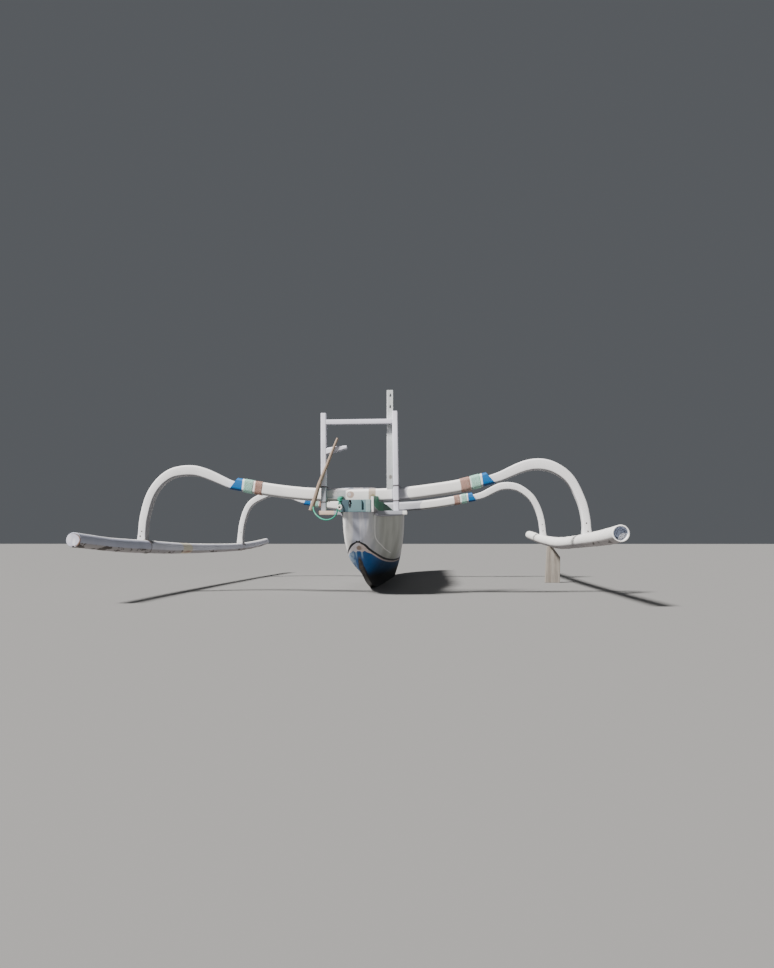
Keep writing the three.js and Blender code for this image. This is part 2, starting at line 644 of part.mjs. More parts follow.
// Board that props the starboard float
const PROP = { y: 1990, depth: 26, top: 378 };
const PROP_OUTLINE = [[1717, 0], [1872, 0], [1880, 268], [1814, 358], [1808, PROP.top], [1744, PROP.top]];
const propShape = new THREE.Shape(PROP_OUTLINE.map(([x, z]) => new THREE.Vector2(x, z)));
const prop = new THREE.ExtrudeGeometry(propShape, { depth: PROP.depth, bevelEnabled: false });
prop.rotateX(Math.PI / 2);
prop.translate(0, PROP.y + PROP.depth / 2, 0);
const propFloat = floatBody(FLOAT_LINES.starboard, { grow: CLEARANCE });
const propSeat = inHull(propFloat.translate(HALF_SPAN, 0, 0));
piece(hull, 'float_prop', cut(prop, propSeat), 'bareWood');

// Rope that hangs from the stern block's port corner to the pole's foot
const ROPE_POINTS = [
  [-127, -308.4, 744], [-127, -325, 743], [-127, -338, 736], [-129, -344, 722], [-132, -344, 704],
  [-136, -340, 684], [-141, -334, 664], [-148, -325, 643], [-163, -314, 623], [-184, -301, 607],
  [-210, -285, 598], [-237, -268, 596], [-264, -250, 600], [-290, -232, 610], [-314, -215, 626],
  [-334, -200, 645], [-348, -186, 665], [-357, -170, 684], [-361, -152, 699], [-362, -133, 701],
].map(([x, y, z]) => xyz(x, y, z));
const ropeCurve = new THREE.CatmullRomCurve3(ROPE_POINTS, false, 'centripetal');
const ropeSection = new THREE.Shape(Array.from({ length: ROPE.sides }, (_, k) => {
  const angle = (2 * Math.PI * (k + 0.5)) / ROPE.sides;
  return new THREE.Vector2(Math.cos(angle), Math.sin(angle)).multiplyScalar(ROPE.diameter / 2);
}));
const ropeSetting = { steps: ROPE.steps, extrudePath: ropeCurve, bevelEnabled: false };
const rope = new THREE.ExtrudeGeometry(ropeSection, ropeSetting);
piece(hull, 'hanging_rope', rope, 'rope');

const canoe = new THREE.Group();
canoe.add(hull, tilt);
canoe.position.y = -ORIGIN_Y;

export default canoe;
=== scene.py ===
"""Looks of a white double-outrigger sailing canoe, drawn up with one float on a prop board."""

import logging
import math
from contextlib import contextmanager
from dataclasses import dataclass, field
from enum import Enum
from functools import cache
from typing import Callable, Iterator

import bmesh
import bpy
import numpy as np
from mathutils import Matrix, Vector


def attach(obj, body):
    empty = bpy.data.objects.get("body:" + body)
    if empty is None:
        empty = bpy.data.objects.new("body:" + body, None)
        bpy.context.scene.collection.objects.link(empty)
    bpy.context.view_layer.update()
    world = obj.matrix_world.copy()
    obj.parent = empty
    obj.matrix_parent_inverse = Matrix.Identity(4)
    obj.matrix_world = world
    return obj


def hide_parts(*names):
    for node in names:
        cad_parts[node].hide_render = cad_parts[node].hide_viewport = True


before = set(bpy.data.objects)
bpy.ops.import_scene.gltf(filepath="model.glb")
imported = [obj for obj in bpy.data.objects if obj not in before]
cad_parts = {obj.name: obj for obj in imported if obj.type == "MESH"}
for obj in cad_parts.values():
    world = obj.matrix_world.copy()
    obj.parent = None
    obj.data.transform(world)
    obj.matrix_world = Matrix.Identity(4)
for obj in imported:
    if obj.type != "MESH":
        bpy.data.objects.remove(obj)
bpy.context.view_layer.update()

LOG = logging.getLogger("canoe")
MM = 0.001
ORIGIN_Y = 1.977  # middle of the overall length, measured from the aft boom
HALF_SPAN = 1.8  # how far out the floats lie
BOOM_SPACING = 2.948
HULL_AXIS = 0.007  # the hull lies a little to starboard of the rig's middle
RIG_LEAN = math.radians(0.88)  # the starboard float is propped, so the rig leans to port
RIG_PIVOT = 0.82
RIG = (
    Matrix.Translation((0, -ORIGIN_Y, RIG_PIVOT))
    @ Matrix.Rotation(-RIG_LEAN, 4, "Y")
    @ Matrix.Translation((0, 0, -RIG_PIVOT))
)
HULL_PLACE = Matrix.Translation((0, -ORIGIN_Y, 0))
ATHWART = (0, 1, 0)  # square to the plane in which booms, arms and pole bend
MERGE = 2e-5  # points nearer than this are one, in metres

Socket = bpy.types.NodeSocket
Feed = Socket | float | tuple
Material, Mesh, Body = bpy.types.Material, bpy.types.Mesh, bpy.types.Object


def given(value: dict) -> dict:
    """A dict as a dataclass field's default."""
    return field(default_factory=lambda: value)


class Side(Enum):
    """Side of the canoe, with the sign of its X."""

    PORT = -1
    STARBOARD = 1

    @property
    def word(self) -> str:
        """Name used in the pieces' names."""
        return self.name.lower()


PORT, STARBOARD = Side


class Grain(Enum):
    """Direction that the wood's grain and the brush strokes follow."""

    X = 0
    Y = 1
    Z = 2
    PATH = 3


# ---- Colours, zones and stains

NO_SHADE = (1, 1, 1)
WHITE = (0.84, 0.83, 0.81)
FRAME_WHITE = (0.78, 0.77, 0.87)
BLUE = (0.0, 0.125, 0.37)
MINT = (0.31, 0.68, 0.52)
BROWN = (0.43, 0.235, 0.18)
LAVENDER = (0.42, 0.42, 0.48)


def scaled(colour: tuple, share: float) -> tuple:
    """A colour made darker or brighter by a number."""
    return tuple(c * share for c in colour)


@dataclass(frozen=True)
class Tint:
    """A colour zone: where it lies along a measure and its colour."""

    low: float
    high: float
    colour: tuple


@dataclass(frozen=True)
class Spot:
    """A stain or bare patch: its middle, its half sizes, its colour and how ragged its edge is."""

    at: tuple
    size: tuple
    colour: tuple
    ragged: float = 0.5
    soft: float = 0.12
    strength: float = 1.0


# ---- Node sheets and finishes


class Sheet:
    """A material's node tree, with short methods for the nodes that the finishes use."""

    def __init__(self, name: str) -> None:
        """Starts an empty tree with a shader and an output.

        Args:
            name: the material's name.
        """
        self.material = bpy.data.materials.new(name)
        self.material.use_nodes = True
        self.tree = self.material.node_tree
        self.tree.nodes.clear()
        self.shader = self.tree.nodes.new("ShaderNodeBsdfPrincipled")
        output = self.tree.nodes.new("ShaderNodeOutputMaterial")
        self.tree.links.new(self.shader.outputs["BSDF"], output.inputs["Surface"])
        self.place = self.node("ShaderNodeTexCoord").outputs["Object"]

    def node(self, kind: str, **settings: object) -> bpy.types.Node:
        """Adds a node with its settings."""
        made = self.tree.nodes.new(kind)
        for key, value in settings.items():
            setattr(made, key, value)
        return made

    def feed(self, socket: Socket, value: Feed) -> None:
        """Links a socket, or sets its value."""
        if isinstance(value, Socket):
            self.tree.links.new(value, socket)
        else:
            socket.default_value = value

    def feed_colour(self, socket: Socket, colour: Feed) -> None:
        """Links a colour's socket, or sets its colour."""
        self.feed(socket, (*colour, 1) if isinstance(colour, tuple) else colour)

    def axis(self, n: int, vector: Socket | None = None) -> Socket:
        """One coordinate of a vector, the piece's own place if none is given."""
        split = self.node("ShaderNodeSeparateXYZ")
        self.feed(split.inputs[0], vector or self.place)
        return split.outputs[n]

    def stretched(self, scale: tuple, vector: Socket | None = None) -> Socket:
        """The place scaled along each axis."""
        mapping = self.node("ShaderNodeMapping")
        self.feed(mapping.inputs["Vector"], vector or self.place)
        mapping.inputs["Scale"].default_value = scale
        return mapping.outputs[0]

    def noise(self, vector: Socket, scale: float = 1, detail: float = 3, rough: float = 0.55,
              warp: float = 0) -> Socket:
        """Value of a noise, from 0 to 1."""
        made = self.node("ShaderNodeTexNoise")
        self.feed(made.inputs["Vector"], vector)
        for key, value in (("Scale", scale), ("Detail", detail), ("Roughness", rough),
                           ("Distortion", warp)):
            made.inputs[key].default_value = value
        return made.outputs[0]

    def math(self, what: str, a: Feed, b: Feed = 0.0) -> Socket:
        """Result of a sum on two values."""
        made = self.node("ShaderNodeMath", operation=what)
        self.feed(made.inputs[0], a)
        self.feed(made.inputs[1], b)
        return made.outputs[0]

    def plus(self, a: Feed, b: Feed) -> Socket:
        """Sum of two values."""
        return self.math("ADD", a, b)

    def minus(self, a: Feed, b: Feed) -> Socket:
        """Difference of two values."""
        return self.math("SUBTRACT", a, b)

    def times(self, a: Feed, b: Feed) -> Socket:
        """Product of two values."""
        return self.math("MULTIPLY", a, b)

    def step(self, value: Feed, low: float, high: float, to: float = 1.0) -> Socket:
        """Smooth step of a value, from 0 at low to a height at high."""
        made = self.node("ShaderNodeMapRange", interpolation_type="SMOOTHSTEP")
        self.feed(made.inputs["Value"], value)
        for key, number in (("From Min", low), ("From Max", high), ("To Max", to)):
            made.inputs[key].default_value = number
        return made.outputs[0]

    def band(self, value: Feed, low: float, high: float, soft: float = 0.0012) -> Socket:
        """1 where the value lies between two limits, with a soft edge."""
        return self.times(self.step(value, low - soft, low + soft),
                          self.step(value, high + soft, high - soft))

    def mix(self, share: Feed, a: Feed, b: Feed, blend: str = "MIX") -> Socket:
        """Colour between two colours, or another blend of the two."""
        made = self.node("ShaderNodeMix", data_type="RGBA", blend_type=blend)
        self.feed(made.inputs[0], share)
        self.feed_colour(made.inputs[6], a)
        self.feed_colour(made.inputs[7], b)
        return made.outputs[2]

    def multiply(self, a: Feed, b: Feed) -> Socket:
        """Product of two colours."""
        return self.mix(1, a, b, "MULTIPLY")

    def spot(self, spot: Spot, ragged: Feed) -> Socket:
        """1 inside a stain's outline.

        Args:
            spot: the stain.
            ragged: noise about 0 that frays the outline.

        Returns:
            The stain's mask.
        """
        mapping = self.node("ShaderNodeMapping")
        self.feed(mapping.inputs["Vector"], self.place)
        mapping.inputs["Scale"].default_value = [1 / v for v in spot.size]
        mapping.inputs["Location"].default_value = [-a / v for a, v in zip(spot.at, spot.size)]
        reach = self.node("ShaderNodeVectorMath", operation="LENGTH")
        self.feed(reach.inputs[0], mapping.outputs[0])
        frayed = self.plus(reach.outputs["Value"], self.times(ragged, spot.ragged))
        return self.step(frayed, 1 + spot.soft, 1 - spot.soft, spot.strength)

    def attribute(self, name: str) -> Socket:
        """Value of the piece's own attribute."""
        return self.node("ShaderNodeAttribute", attribute_name=name).outputs["Fac"]

    def along(self, grain: Grain) -> Socket:
        """Place turned so that its first axis follows the grain, in metres."""
        if grain is Grain.PATH:
            return self.node("ShaderNodeUVMap", uv_map="Path").outputs[0]
        turned = self.node("ShaderNodeCombineXYZ")
        split = self.node("ShaderNodeSeparateXYZ")
        self.feed(split.inputs[0], self.place)
        for n in range(3):
            self.feed(turned.inputs[n], split.outputs[(grain.value + n) % 3])
        return turned.outputs[0]

    def finish(self, colour: Feed, roughness: Feed, height: Feed, depth: float,
               specular: float = 0.35) -> Material:
        """Feeds the shader.

        Args:
            colour: base colour.
            roughness: roughness, a value or a socket.
            height: height of the small relief, from 0 to 1.
            depth: how deep that relief is, in metres.
            specular: level of the mirror-like part.

        Returns:
            The finished material.
        """
        bump = self.node("ShaderNodeBump")
        bump.inputs["Distance"].default_value = depth
        self.feed(bump.inputs["Height"], height)
        self.feed(self.shader.inputs["Normal"], bump.outputs[0])
        self.feed_colour(self.shader.inputs["Base Color"], colour)
        self.feed(self.shader.inputs["Roughness"], roughness)
        self.shader.inputs["Specular IOR Level"].default_value = specular
        return self.material


@dataclass(frozen=True)
class PaintedWood:
    """Oil paint on wood: brush marks, grime, scuffs, chips down to the wood, and painted shade on
    undersides.
    """

    name: str
    paint: tuple
    grain: Grain = Grain.X
    under: tuple = (0.23, 0.17, 0.12)
    wear: float = 0.25
    grime: float = 0.3
    grime_colour: tuple = (0.34, 0.32, 0.28)
    roughness: float = 0.55
    tints: tuple = ()
    measure: Grain = Grain.X
    spots: tuple = ()
    # painted shade on faces turned down: how strong it is, and its colour
    underside: float = 0.7
    under_shade: tuple = (0.25, 0.25, 0.27)
    cloud_shade: tuple = (0.86, 0.86, 0.87)
    edge_wear: float = 0.1
    uneven: float = 0.004
    relief: float = 0.0011

    def zoned(self, sheet: Sheet, colour: Feed, value: Feed, soft: float = 0.0012) -> Feed:
        """The paint with its colour zones.

        Args:
            sheet: the material's node tree.
            colour: the colour so far.
            value: the measure along which the zones lie.
            soft: half width of their soft edges, in metres.

        Returns:
            The colour with the zones on it.
        """
        for tint in self.tints:
            colour = sheet.mix(sheet.band(value, tint.low, tint.high, soft), colour, tint.colour)
        return colour

    def ground(self, sheet: Sheet) -> Feed:
        """Paint colour before wear, with the colour zones."""
        if not self.tints:
            return self.paint
        value = sheet.plus(sheet.axis(self.measure.value), self.wobble(sheet))
        return self.zoned(sheet, self.paint, value)

    def wobble(self, sheet: Sheet) -> Socket:
        """Small unevenness of the hand-painted edges, in metres."""
        soft = sheet.noise(sheet.place, scale=60, detail=2)
        return sheet.times(sheet.minus(soft, 0.5), self.uneven)

    def build(self) -> Material:
        """Makes the material: paint, painted shade on undersides, a cloudy tone, dirt, and last the
        chips down to the wood.
        """
        sheet = Sheet(self.name)
        along = sheet.along(self.grain)
        streak = sheet.noise(sheet.stretched((3, 70, 70), along), detail=4, rough=0.6)
        brush = sheet.noise(sheet.stretched((8, 260, 260), along), detail=2)
        cloud = sheet.noise(sheet.place, scale=3.1, detail=4, rough=0.6, warp=0.4)
        # painted shade on faces turned down, read from the attribute under
        down = sheet.step(sheet.attribute("under"), 0.30, 0.52, self.underside)
        colour = sheet.multiply(self.ground(sheet), sheet.mix(down, NO_SHADE, self.under_shade))
        if self.spots:
            ragged = sheet.minus(sheet.noise(sheet.place, scale=55, detail=4, rough=0.6), 0.5)
            for spot in self.spots:
                colour = sheet.mix(sheet.spot(spot, ragged), colour, spot.colour)
        shade = sheet.mix(sheet.step(cloud, 0.3, 0.75), NO_SHADE, self.cloud_shade)
        colour = sheet.multiply(colour, shade)
        dirt = sheet.times(sheet.step(streak, 0.48, 0.8), sheet.step(cloud, 0.35, 0.7))
        colour = sheet.mix(sheet.times(dirt, self.grime), colour, self.grime_colour)
        speck = sheet.noise(sheet.place, scale=95, detail=5, rough=0.7)
        rubbed = sheet.times(sheet.attribute("edge"), self.edge_wear)
        reach = sheet.plus(speck, sheet.plus(rubbed, sheet.times(cloud, 0.16)))
        reach, give = sheet.plus(reach, 0.08 * self.wear), 0.12 * self.wear
        chips = sheet.step(reach, 0.86 - give, 0.9 - give)
        wood = sheet.mix(streak, self.under, scaled(self.under, 1.9))
        colour = sheet.mix(chips, colour, wood)
        relief = sheet.plus(sheet.times(brush, 0.25), sheet.times(streak, 0.35))
        relief = sheet.minus(relief, sheet.times(chips, 0.5))
        rough = sheet.plus(sheet.times(cloud, 0.2), self.roughness - 0.08)
        rough = sheet.plus(rough, sheet.times(chips, 0.2))
        return sheet.finish(colour, rough, relief, self.relief)


@dataclass(frozen=True)
class BoomPaint(PaintedWood):
    """White boom with grey-lavender by the hull and coloured bands square to its axis.

    Measures are run lengths from the boom's inner end: worn_edge ends the worn stretch, clear is
    a stretch left white, and inner ends the darker grey. middle is the height of the boom's axis.
    """

    worn: tuple = (0.36, 0.37, 0.42)
    worn_pale: tuple = (0.6, 0.6, 0.63)
    inner_pale: tuple = (0.68, 0.64, 0.66)
    inner_dark: tuple = (0.34, 0.37, 0.44)
    worn_edge: float = 0.535
    clear: tuple = (0.0, 0.0)
    inner: float = 0.0
    offset: float = 0.15
    middle: float = 0.84
    bulge: float = 9.0

    def ground(self, sheet: Sheet) -> Socket:
        """White, with the worn stretch by the hull and the colour zones on top."""
        run = sheet.axis(0, sheet.along(Grain.PATH))
        z = sheet.minus(sheet.axis(2), self.middle)
        bulge = sheet.times(sheet.times(z, z), self.bulge)
        out = sheet.plus(sheet.math("ABSOLUTE", sheet.axis(0)), self.offset)
        value = sheet.plus(sheet.times(sheet.plus(run, out), 0.5), self.wobble(sheet))
        near = sheet.step(sheet.minus(value, bulge), self.worn_edge + 0.003, self.worn_edge - 0.003)
        near = sheet.times(near, sheet.minus(1.0, sheet.band(run, *self.clear, 0.004)))
        streaks = sheet.noise(sheet.stretched((5, 90, 90)), detail=4)
        grey = sheet.mix(streaks, self.worn, self.worn_pale)
        inner = sheet.mix(sheet.step(streaks, 0.50, 0.66), self.inner_pale, self.inner_dark)
        grey = sheet.mix(sheet.step(run, self.inner + 0.002, self.inner - 0.002), grey, inner)
        return self.zoned(sheet, sheet.mix(near, self.paint, grey), value)


@dataclass(frozen=True)
class HullPaint(PaintedWood):
    """White topsides down to a black line, and below it a pale band, blue and the bare keel."""

    line: tuple = (0.012, 0.014, 0.02)
    streaked: tuple = (0.36, 0.38, 0.45)
    # painted shade on the stern quarter: blue-grey mid-way, green-grey to starboard
    cool: tuple = ((0.64, 0.64, 0.69), (0.47, 0.49, 0.58))
    warm: tuple = ((0.56, 0.57, 0.52), (0.44, 0.45, 0.40))
    band_colour: tuple = (0.72, 0.60, 0.56)
    band_stain: tuple = (0.36, 0.26, 0.22)
    # painted highlight on the pale band at the stern's edge and to port
    stem_band: tuple = (0.80, 0.76, 0.80)
    blue: tuple = (0.002, 0.075, 0.24)
    fore_blue: tuple = (0.003, 0.035, 0.05)
    # near black: painted shade low under the hull
    low_blue: tuple = (0.006, 0.008, 0.012)
    # painted sunlit pale blue on the stern's port side
    pale: tuple = (0.36, 0.50, 0.68)
    strip: tuple = (0.42, 0.60, 0.74)
    keel: tuple = (0.022, 0.017, 0.015)
    keel_brown: tuple = (0.12, 0.075, 0.05)
    axis: float = HULL_AXIS

    def topsides(self, sheet: Sheet) -> Socket:
        """White with upright streaks, greyer towards starboard: painted shade on the stern quarter.

        Args:
            sheet: the material's node tree.

        Returns:
            The colour of the sides above the line.
        """
        x = sheet.axis(0)
        streaks = sheet.noise(sheet.stretched((26, 9, 1.6)), rough=0.5, warp=0.5)
        broad = sheet.noise(sheet.stretched((9, 5, 2.2)), rough=0.5, warp=0.4)
        cool = sheet.mix(sheet.step(streaks, 0.40, 0.62), *self.cool)
        warm = sheet.mix(sheet.step(broad, 0.35, 0.68), *self.warm)
        clean = sheet.mix(sheet.step(streaks, 0.55, 0.64, 0.4), self.paint, self.streaked)
        aft = sheet.step(sheet.axis(1), -0.2, -1.1)
        colour = sheet.mix(sheet.times(sheet.step(x, -0.06, -0.02), aft), clean, cool)
        return sheet.mix(sheet.times(sheet.step(x, 0.05, 0.19), aft), colour, warm)

    def ground(self, sheet: Sheet) -> Socket:
        """Zones by the distance from the seam along the girth."""
        up = sheet.plus(sheet.attribute("rise"), self.wobble(sheet))
        y = sheet.axis(1)
        stem = sheet.step(y, -2.03, -2.15)
        side = sheet.minus(sheet.axis(0), self.axis)
        off = sheet.math("ABSOLUTE", side)
        # the pale band, with painted light that brightens it at the stern's edge and to port
        stains = sheet.step(sheet.noise(sheet.place, scale=34, detail=4), 0.5, 0.75, 0.7)
        pale = sheet.mix(stains, self.band_colour, self.band_stain)
        band_lit = sheet.math("MAXIMUM", sheet.times(stem, sheet.step(side, 0.03, 0.0)),
                            sheet.step(side, -0.03, -0.06))
        pale = sheet.mix(band_lit, pale, self.stem_band)
        # blue, darker forward, near black low down as painted shade, and a painted sunlit pale on the
        # stern's port side
        tone = sheet.noise(sheet.stretched((30, 3, 30)))
        sea = sheet.mix(tone, self.blue, scaled(self.blue, 1.7))
        sea = sheet.mix(sheet.step(y, -1.9, -1.3, 0.6), sea, self.fore_blue)
        sea = sheet.mix(sheet.step(sheet.axis(2), 0.20, 0.11), sea, self.low_blue)
        sunlit_port = sheet.times(sheet.step(side, -0.028, -0.05), sheet.step(tone, 0.25, 0.62))
        sea = sheet.mix(sheet.times(sunlit_port, sheet.step(y, -1.75, -1.95)), sea, self.pale)
        strip = sheet.times(sheet.band(off, 0.018, 0.029, 0.006), sheet.step(up, -0.125, -0.085))
        sea = sheet.mix(sheet.times(strip, stem), sea, self.strip)
        tongue = sheet.times(stem, sheet.step(off, 0.05, 0.02, 0.03))
        depth = sheet.plus(up, sheet.plus(sheet.times(stem, 0.014), tongue))
        colour = sheet.mix(sheet.step(depth, -0.021, -0.024), pale, sea)
        # the bare keel, wider and browner towards the stern
        grain = sheet.step(sheet.noise(sheet.stretched((40, 5, 40))), 0.42, 0.6)
        heart = sheet.mix(grain, self.keel, self.keel_brown)
        heart = sheet.mix(sheet.step(y, -1.95, -1.75), heart, self.keel)
        wood = sheet.mix(sheet.step(off, 0.014, 0.006), self.keel, heart)
        ragged = sheet.times(sheet.noise(sheet.place, scale=14), 0.012)
        wide = sheet.plus(sheet.plus(off, ragged), sheet.step(up, -0.16, -0.09, 0.016))
        bare = sheet.times(sheet.step(wide, 0.036, 0.028), sheet.step(up, -0.085, -0.115))
        colour = sheet.mix(bare, colour, wood)
        colour = sheet.mix(sheet.step(up, 0.008, 0.0095), colour, self.topsides(sheet))
        return sheet.mix(sheet.band(up, -0.0095, 0.0085, 0.0008), colour, self.line)


@dataclass(frozen=True)
class FloatPaint(PaintedWood):
    """Bamboo painted white, with painted shade down its flanks and belly, and scuffed brown where it
    drags.
    """

    # painted shade down the flanks and on the belly, aft and forward
    flank: tuple = WHITE
    fore_flank: tuple = WHITE
    belly: tuple = (0.38, 0.35, 0.35)
    fore_belly: tuple = (0.34, 0.32, 0.33)
    bare: tuple = (0.045, 0.032, 0.026)
    scuffs: float = 0.62

    def ground(self, sheet: Sheet) -> Socket:
        """Painted shade by how far the surface faces down, with the brown scuffs beneath."""
        under = sheet.plus(sheet.attribute("under"), sheet.times(self.wobble(sheet), 12.0))
        fore = sheet.step(sheet.axis(1), -2.02, -1.92)
        flank = sheet.mix(fore, self.flank, self.fore_flank)
        colour = sheet.mix(sheet.step(under, -0.98, -0.84), self.paint, flank)
        belly = sheet.mix(fore, self.belly, self.fore_belly)
        colour = sheet.mix(sheet.step(under, 0.28, 0.5), colour, belly)
        patch = sheet.noise(sheet.stretched((20, 7, 20)), detail=5, rough=0.6)
        patch = sheet.minus(patch, sheet.times(fore, 0.045))
        patch = sheet.step(patch, self.scuffs, self.scuffs + 0.03)
        patch = sheet.times(patch, sheet.step(under, 0.3, 0.45))
        colour = sheet.mix(patch, colour, self.bare)
        return self.zoned(sheet, colour, sheet.axis(1), 0.004)


@dataclass(frozen=True)
class BoardGreen(PaintedWood):
    """Green raised board: grey below a falling line at its aft end, white darkened as painted shade,
    and darker green forward.

    The line starts at the height sill at y = start and falls aft by slope.
    """

    foot: tuple = (0.27, 0.26, 0.27)
    deep: tuple = (0.025, 0.11, 0.068)
    edge_colour: tuple = (0.36, 0.44, 0.38)
    slope: float = 0.155
    start: float = -1.917
    sill: float = 0.655

    def ground(self, sheet: Sheet) -> Socket:
        """The two greens, the grey foot of painted shade and the pale edge between."""
        y = sheet.axis(1)
        fall = sheet.times(sheet.minus(self.start, y), self.slope)
        above = sheet.minus(sheet.minus(sheet.axis(2), self.sill), fall)
        above = sheet.plus(above, self.wobble(sheet))
        tone = sheet.noise(sheet.place, scale=16)
        colour = sheet.mix(sheet.step(tone, 0.4, 0.7), self.paint, scaled(self.paint, 0.6))
        colour = sheet.mix(sheet.step(y, -1.89, -1.76), colour, self.deep)
        aft = sheet.step(y, self.start + 0.03, self.start - 0.03)
        edge = sheet.times(aft, sheet.band(above, -0.002, 0.006))
        colour = sheet.mix(edge, colour, self.edge_colour)
        # grey foot below the line: painted shade on what is white topside paint
        foot = sheet.times(aft, sheet.step(above, 0.0, -0.003))
        return self.zoned(sheet, sheet.mix(foot, colour, self.foot), y)


@dataclass(frozen=True)
class BareWood:
    """Weathered wood without paint."""

    name: str
    light: tuple
    dark: tuple
    grain: Grain = Grain.X
    roughness: float = 0.85
    stain: tuple = (0.2, 0.19, 0.17)
    relief: float = 0.0016

    def build(self) -> Material:
        """Makes the material."""
        sheet = Sheet(self.name)
        along = sheet.along(self.grain)
        fibre = sheet.noise(sheet.stretched((5, 120, 120), along), detail=5, rough=0.65)
        figure = sheet.noise(sheet.stretched((1.5, 22, 22), along), detail=4, rough=0.6, warp=1.2)
        stain = sheet.noise(sheet.place, scale=7, detail=4)
        cracks = sheet.step(sheet.noise(sheet.stretched((2.5, 170, 170), along)), 0.62, 0.72)
        colour = sheet.mix(sheet.step(figure, 0.3, 0.7), self.light, self.dark)
        colour = sheet.mix(sheet.step(fibre, 0.35, 0.75, 0.6), colour, scaled(self.dark, 0.55))
        colour = sheet.mix(sheet.step(stain, 0.5, 0.8, 0.4), colour, self.stain)
        colour = sheet.mix(cracks, colour, scaled(self.dark, 0.3))
        relief = sheet.minus(fibre, sheet.times(cracks, 0.8))
        return sheet.finish(colour, self.roughness, relief, self.relief, specular=0.2)


@dataclass(frozen=True)
class Cordage:
    """Twisted fibre, with the strands, and painted shade between them, drawn by the piece's own
    attributes.
    """

    name: str
    light: tuple
    dark: tuple
    lay: float = 300.0
    strands: int = 3
    roughness: float = 0.75
    faded: tuple = (0.4, 0.38, 0.34)
    relief: float = 0.0006

    def build(self) -> Material:
        """Makes the material."""
        sheet = Sheet(self.name)
        turn = sheet.plus(sheet.times(sheet.attribute("along"), self.lay),
                          sheet.times(sheet.attribute("around"), self.strands * math.tau))
        strand = sheet.times(sheet.plus(sheet.math("SINE", turn), 1.0), 0.5)
        fuzz = sheet.noise(sheet.place, scale=900)
        fade = sheet.noise(sheet.place, scale=18)
        # darker between the strands: painted shade in the grooves of the lay
        colour = sheet.mix(sheet.times(sheet.minus(1.0, strand), 0.55), self.light, self.dark)
        colour = sheet.mix(sheet.step(fade, 0.45, 0.75, 0.4), colour, self.faded)
        relief = sheet.plus(strand, sheet.times(fuzz, 0.3))
        return sheet.finish(colour, self.roughness, relief, self.relief, specular=0.25)


Finish = PaintedWood | BareWood | Cordage


@cache
def material_of(finish: Finish) -> Material:
    """Material of a finish, made when it is first asked for."""
    return finish.build()


INSIDE = PaintedWood("inside_paint", (0.45, 0.46, 0.47), Grain.Y, wear=0.7, grime=0.6,
                     roughness=0.75)
WORN_Y = PaintedWood("worn_paint_lengthwise", LAVENDER, Grain.Y, wear=0.6, grime=0.5, roughness=0.7)
WORN_X = PaintedWood("worn_paint_across", LAVENDER, Grain.X, wear=0.6, grime=0.5, roughness=0.7)
# near white, brighter than the hull: the quarter seam's bead with a painted highlight
SEAM_PUTTY_HIGHLIGHT = PaintedWood("seam_putty", (0.92, 0.92, 0.90), Grain.Z, wear=0.05, grime=0.05)
HULL_PAINT = HullPaint(
    "hull_paint", WHITE, Grain.Z, wear=0.2, grime=0.2, underside=0.0,
    spots=(Spot((0.012, -2.17, 0.375), (0.019, 0.040, 0.019), (0.36, 0.27, 0.22), 0.6, 0.35),),
)
# arms: painted shade on their undersides and on the port arms' inner faces
ARM_PAINT = PaintedWood(
    "arm_paint", (0.82, 0.815, 0.82), Grain.PATH, wear=0.05, grime=0.3,
    grime_colour=(0.42, 0.41, 0.46), underside=0.85, edge_wear=0.0,
)
# inside the starboard float's open end: painted shade in grey-blue, a painted sunlit crescent in
# white
CUP_SHADE_AND_HIGHLIGHT = PaintedWood(
    "cup_paint", (0.36, 0.40, 0.49), Grain.Y, wear=0.0, grime=0.2, underside=0.0, edge_wear=0.0,
    spots=(Spot((1.842, -3.16, 0.440), (0.040, 0.08, 0.040), (0.98, 0.98, 1.0), 0.12, 0.10),
           Spot((1.795, -3.16, 0.446), (0.007, 0.08, 0.010), (0.16, 0.18, 0.22), 0.3, 0.3)),
)
BARE = BareWood("bare_wood_lengthwise", (0.36, 0.29, 0.23), (0.2, 0.15, 0.115), Grain.Y)
GREY_WOOD = BareWood("bare_wood_grey", (0.38, 0.35, 0.31), (0.24, 0.21, 0.18), Grain.Z)
STICK = BareWood("bare_stick", (0.42, 0.32, 0.25), (0.25, 0.18, 0.14), Grain.PATH)
PEG_WOOD = BareWood("peg_wood", (0.12, 0.09, 0.07), (0.05, 0.04, 0.03), Grain.Y)
DARK_METAL = BareWood("rusty_iron", (0.16, 0.10, 0.07), (0.07, 0.045, 0.035), Grain.X, 0.7)
DARK_CORD = Cordage("dark_cord", (0.20, 0.19, 0.21), (0.07, 0.065, 0.075), 900)
HOLE_SHADOW_CORD = Cordage("black_cord", (0.02, 0.02, 0.02), (0.01, 0.01, 0.01), 900)
BARK_CORD = Cordage("bark_cord", (0.12, 0.07, 0.05), (0.05, 0.03, 0.02), 900)
MINT_CORD = Cordage("mint_cord", (0.42, 0.70, 0.60), (0.28, 0.52, 0.44), 900)
BROWN_CORD = Cordage("brown_cord", (0.46, 0.29, 0.24), (0.30, 0.18, 0.145), 900)
WHITE_CORD = Cordage("white_cord", (0.80, 0.79, 0.76), (0.5, 0.49, 0.46), 900)
ROPE = Cordage("green_rope", (0.03, 0.36, 0.24), (0.0, 0.07, 0.05), 260)


# ---- Lines, rings and meshes


def run_length(points: np.ndarray) -> np.ndarray:
    """Length run from the first of a row of points to each of them."""
    return np.concatenate([[0], np.cumsum(np.linalg.norm(np.diff(points, axis=0), axis=1))])


def circle_shares(count: int) -> np.ndarray:
    """Angles that cut a full turn into equal parts."""
    return np.linspace(0, math.tau, count, endpoint=False)


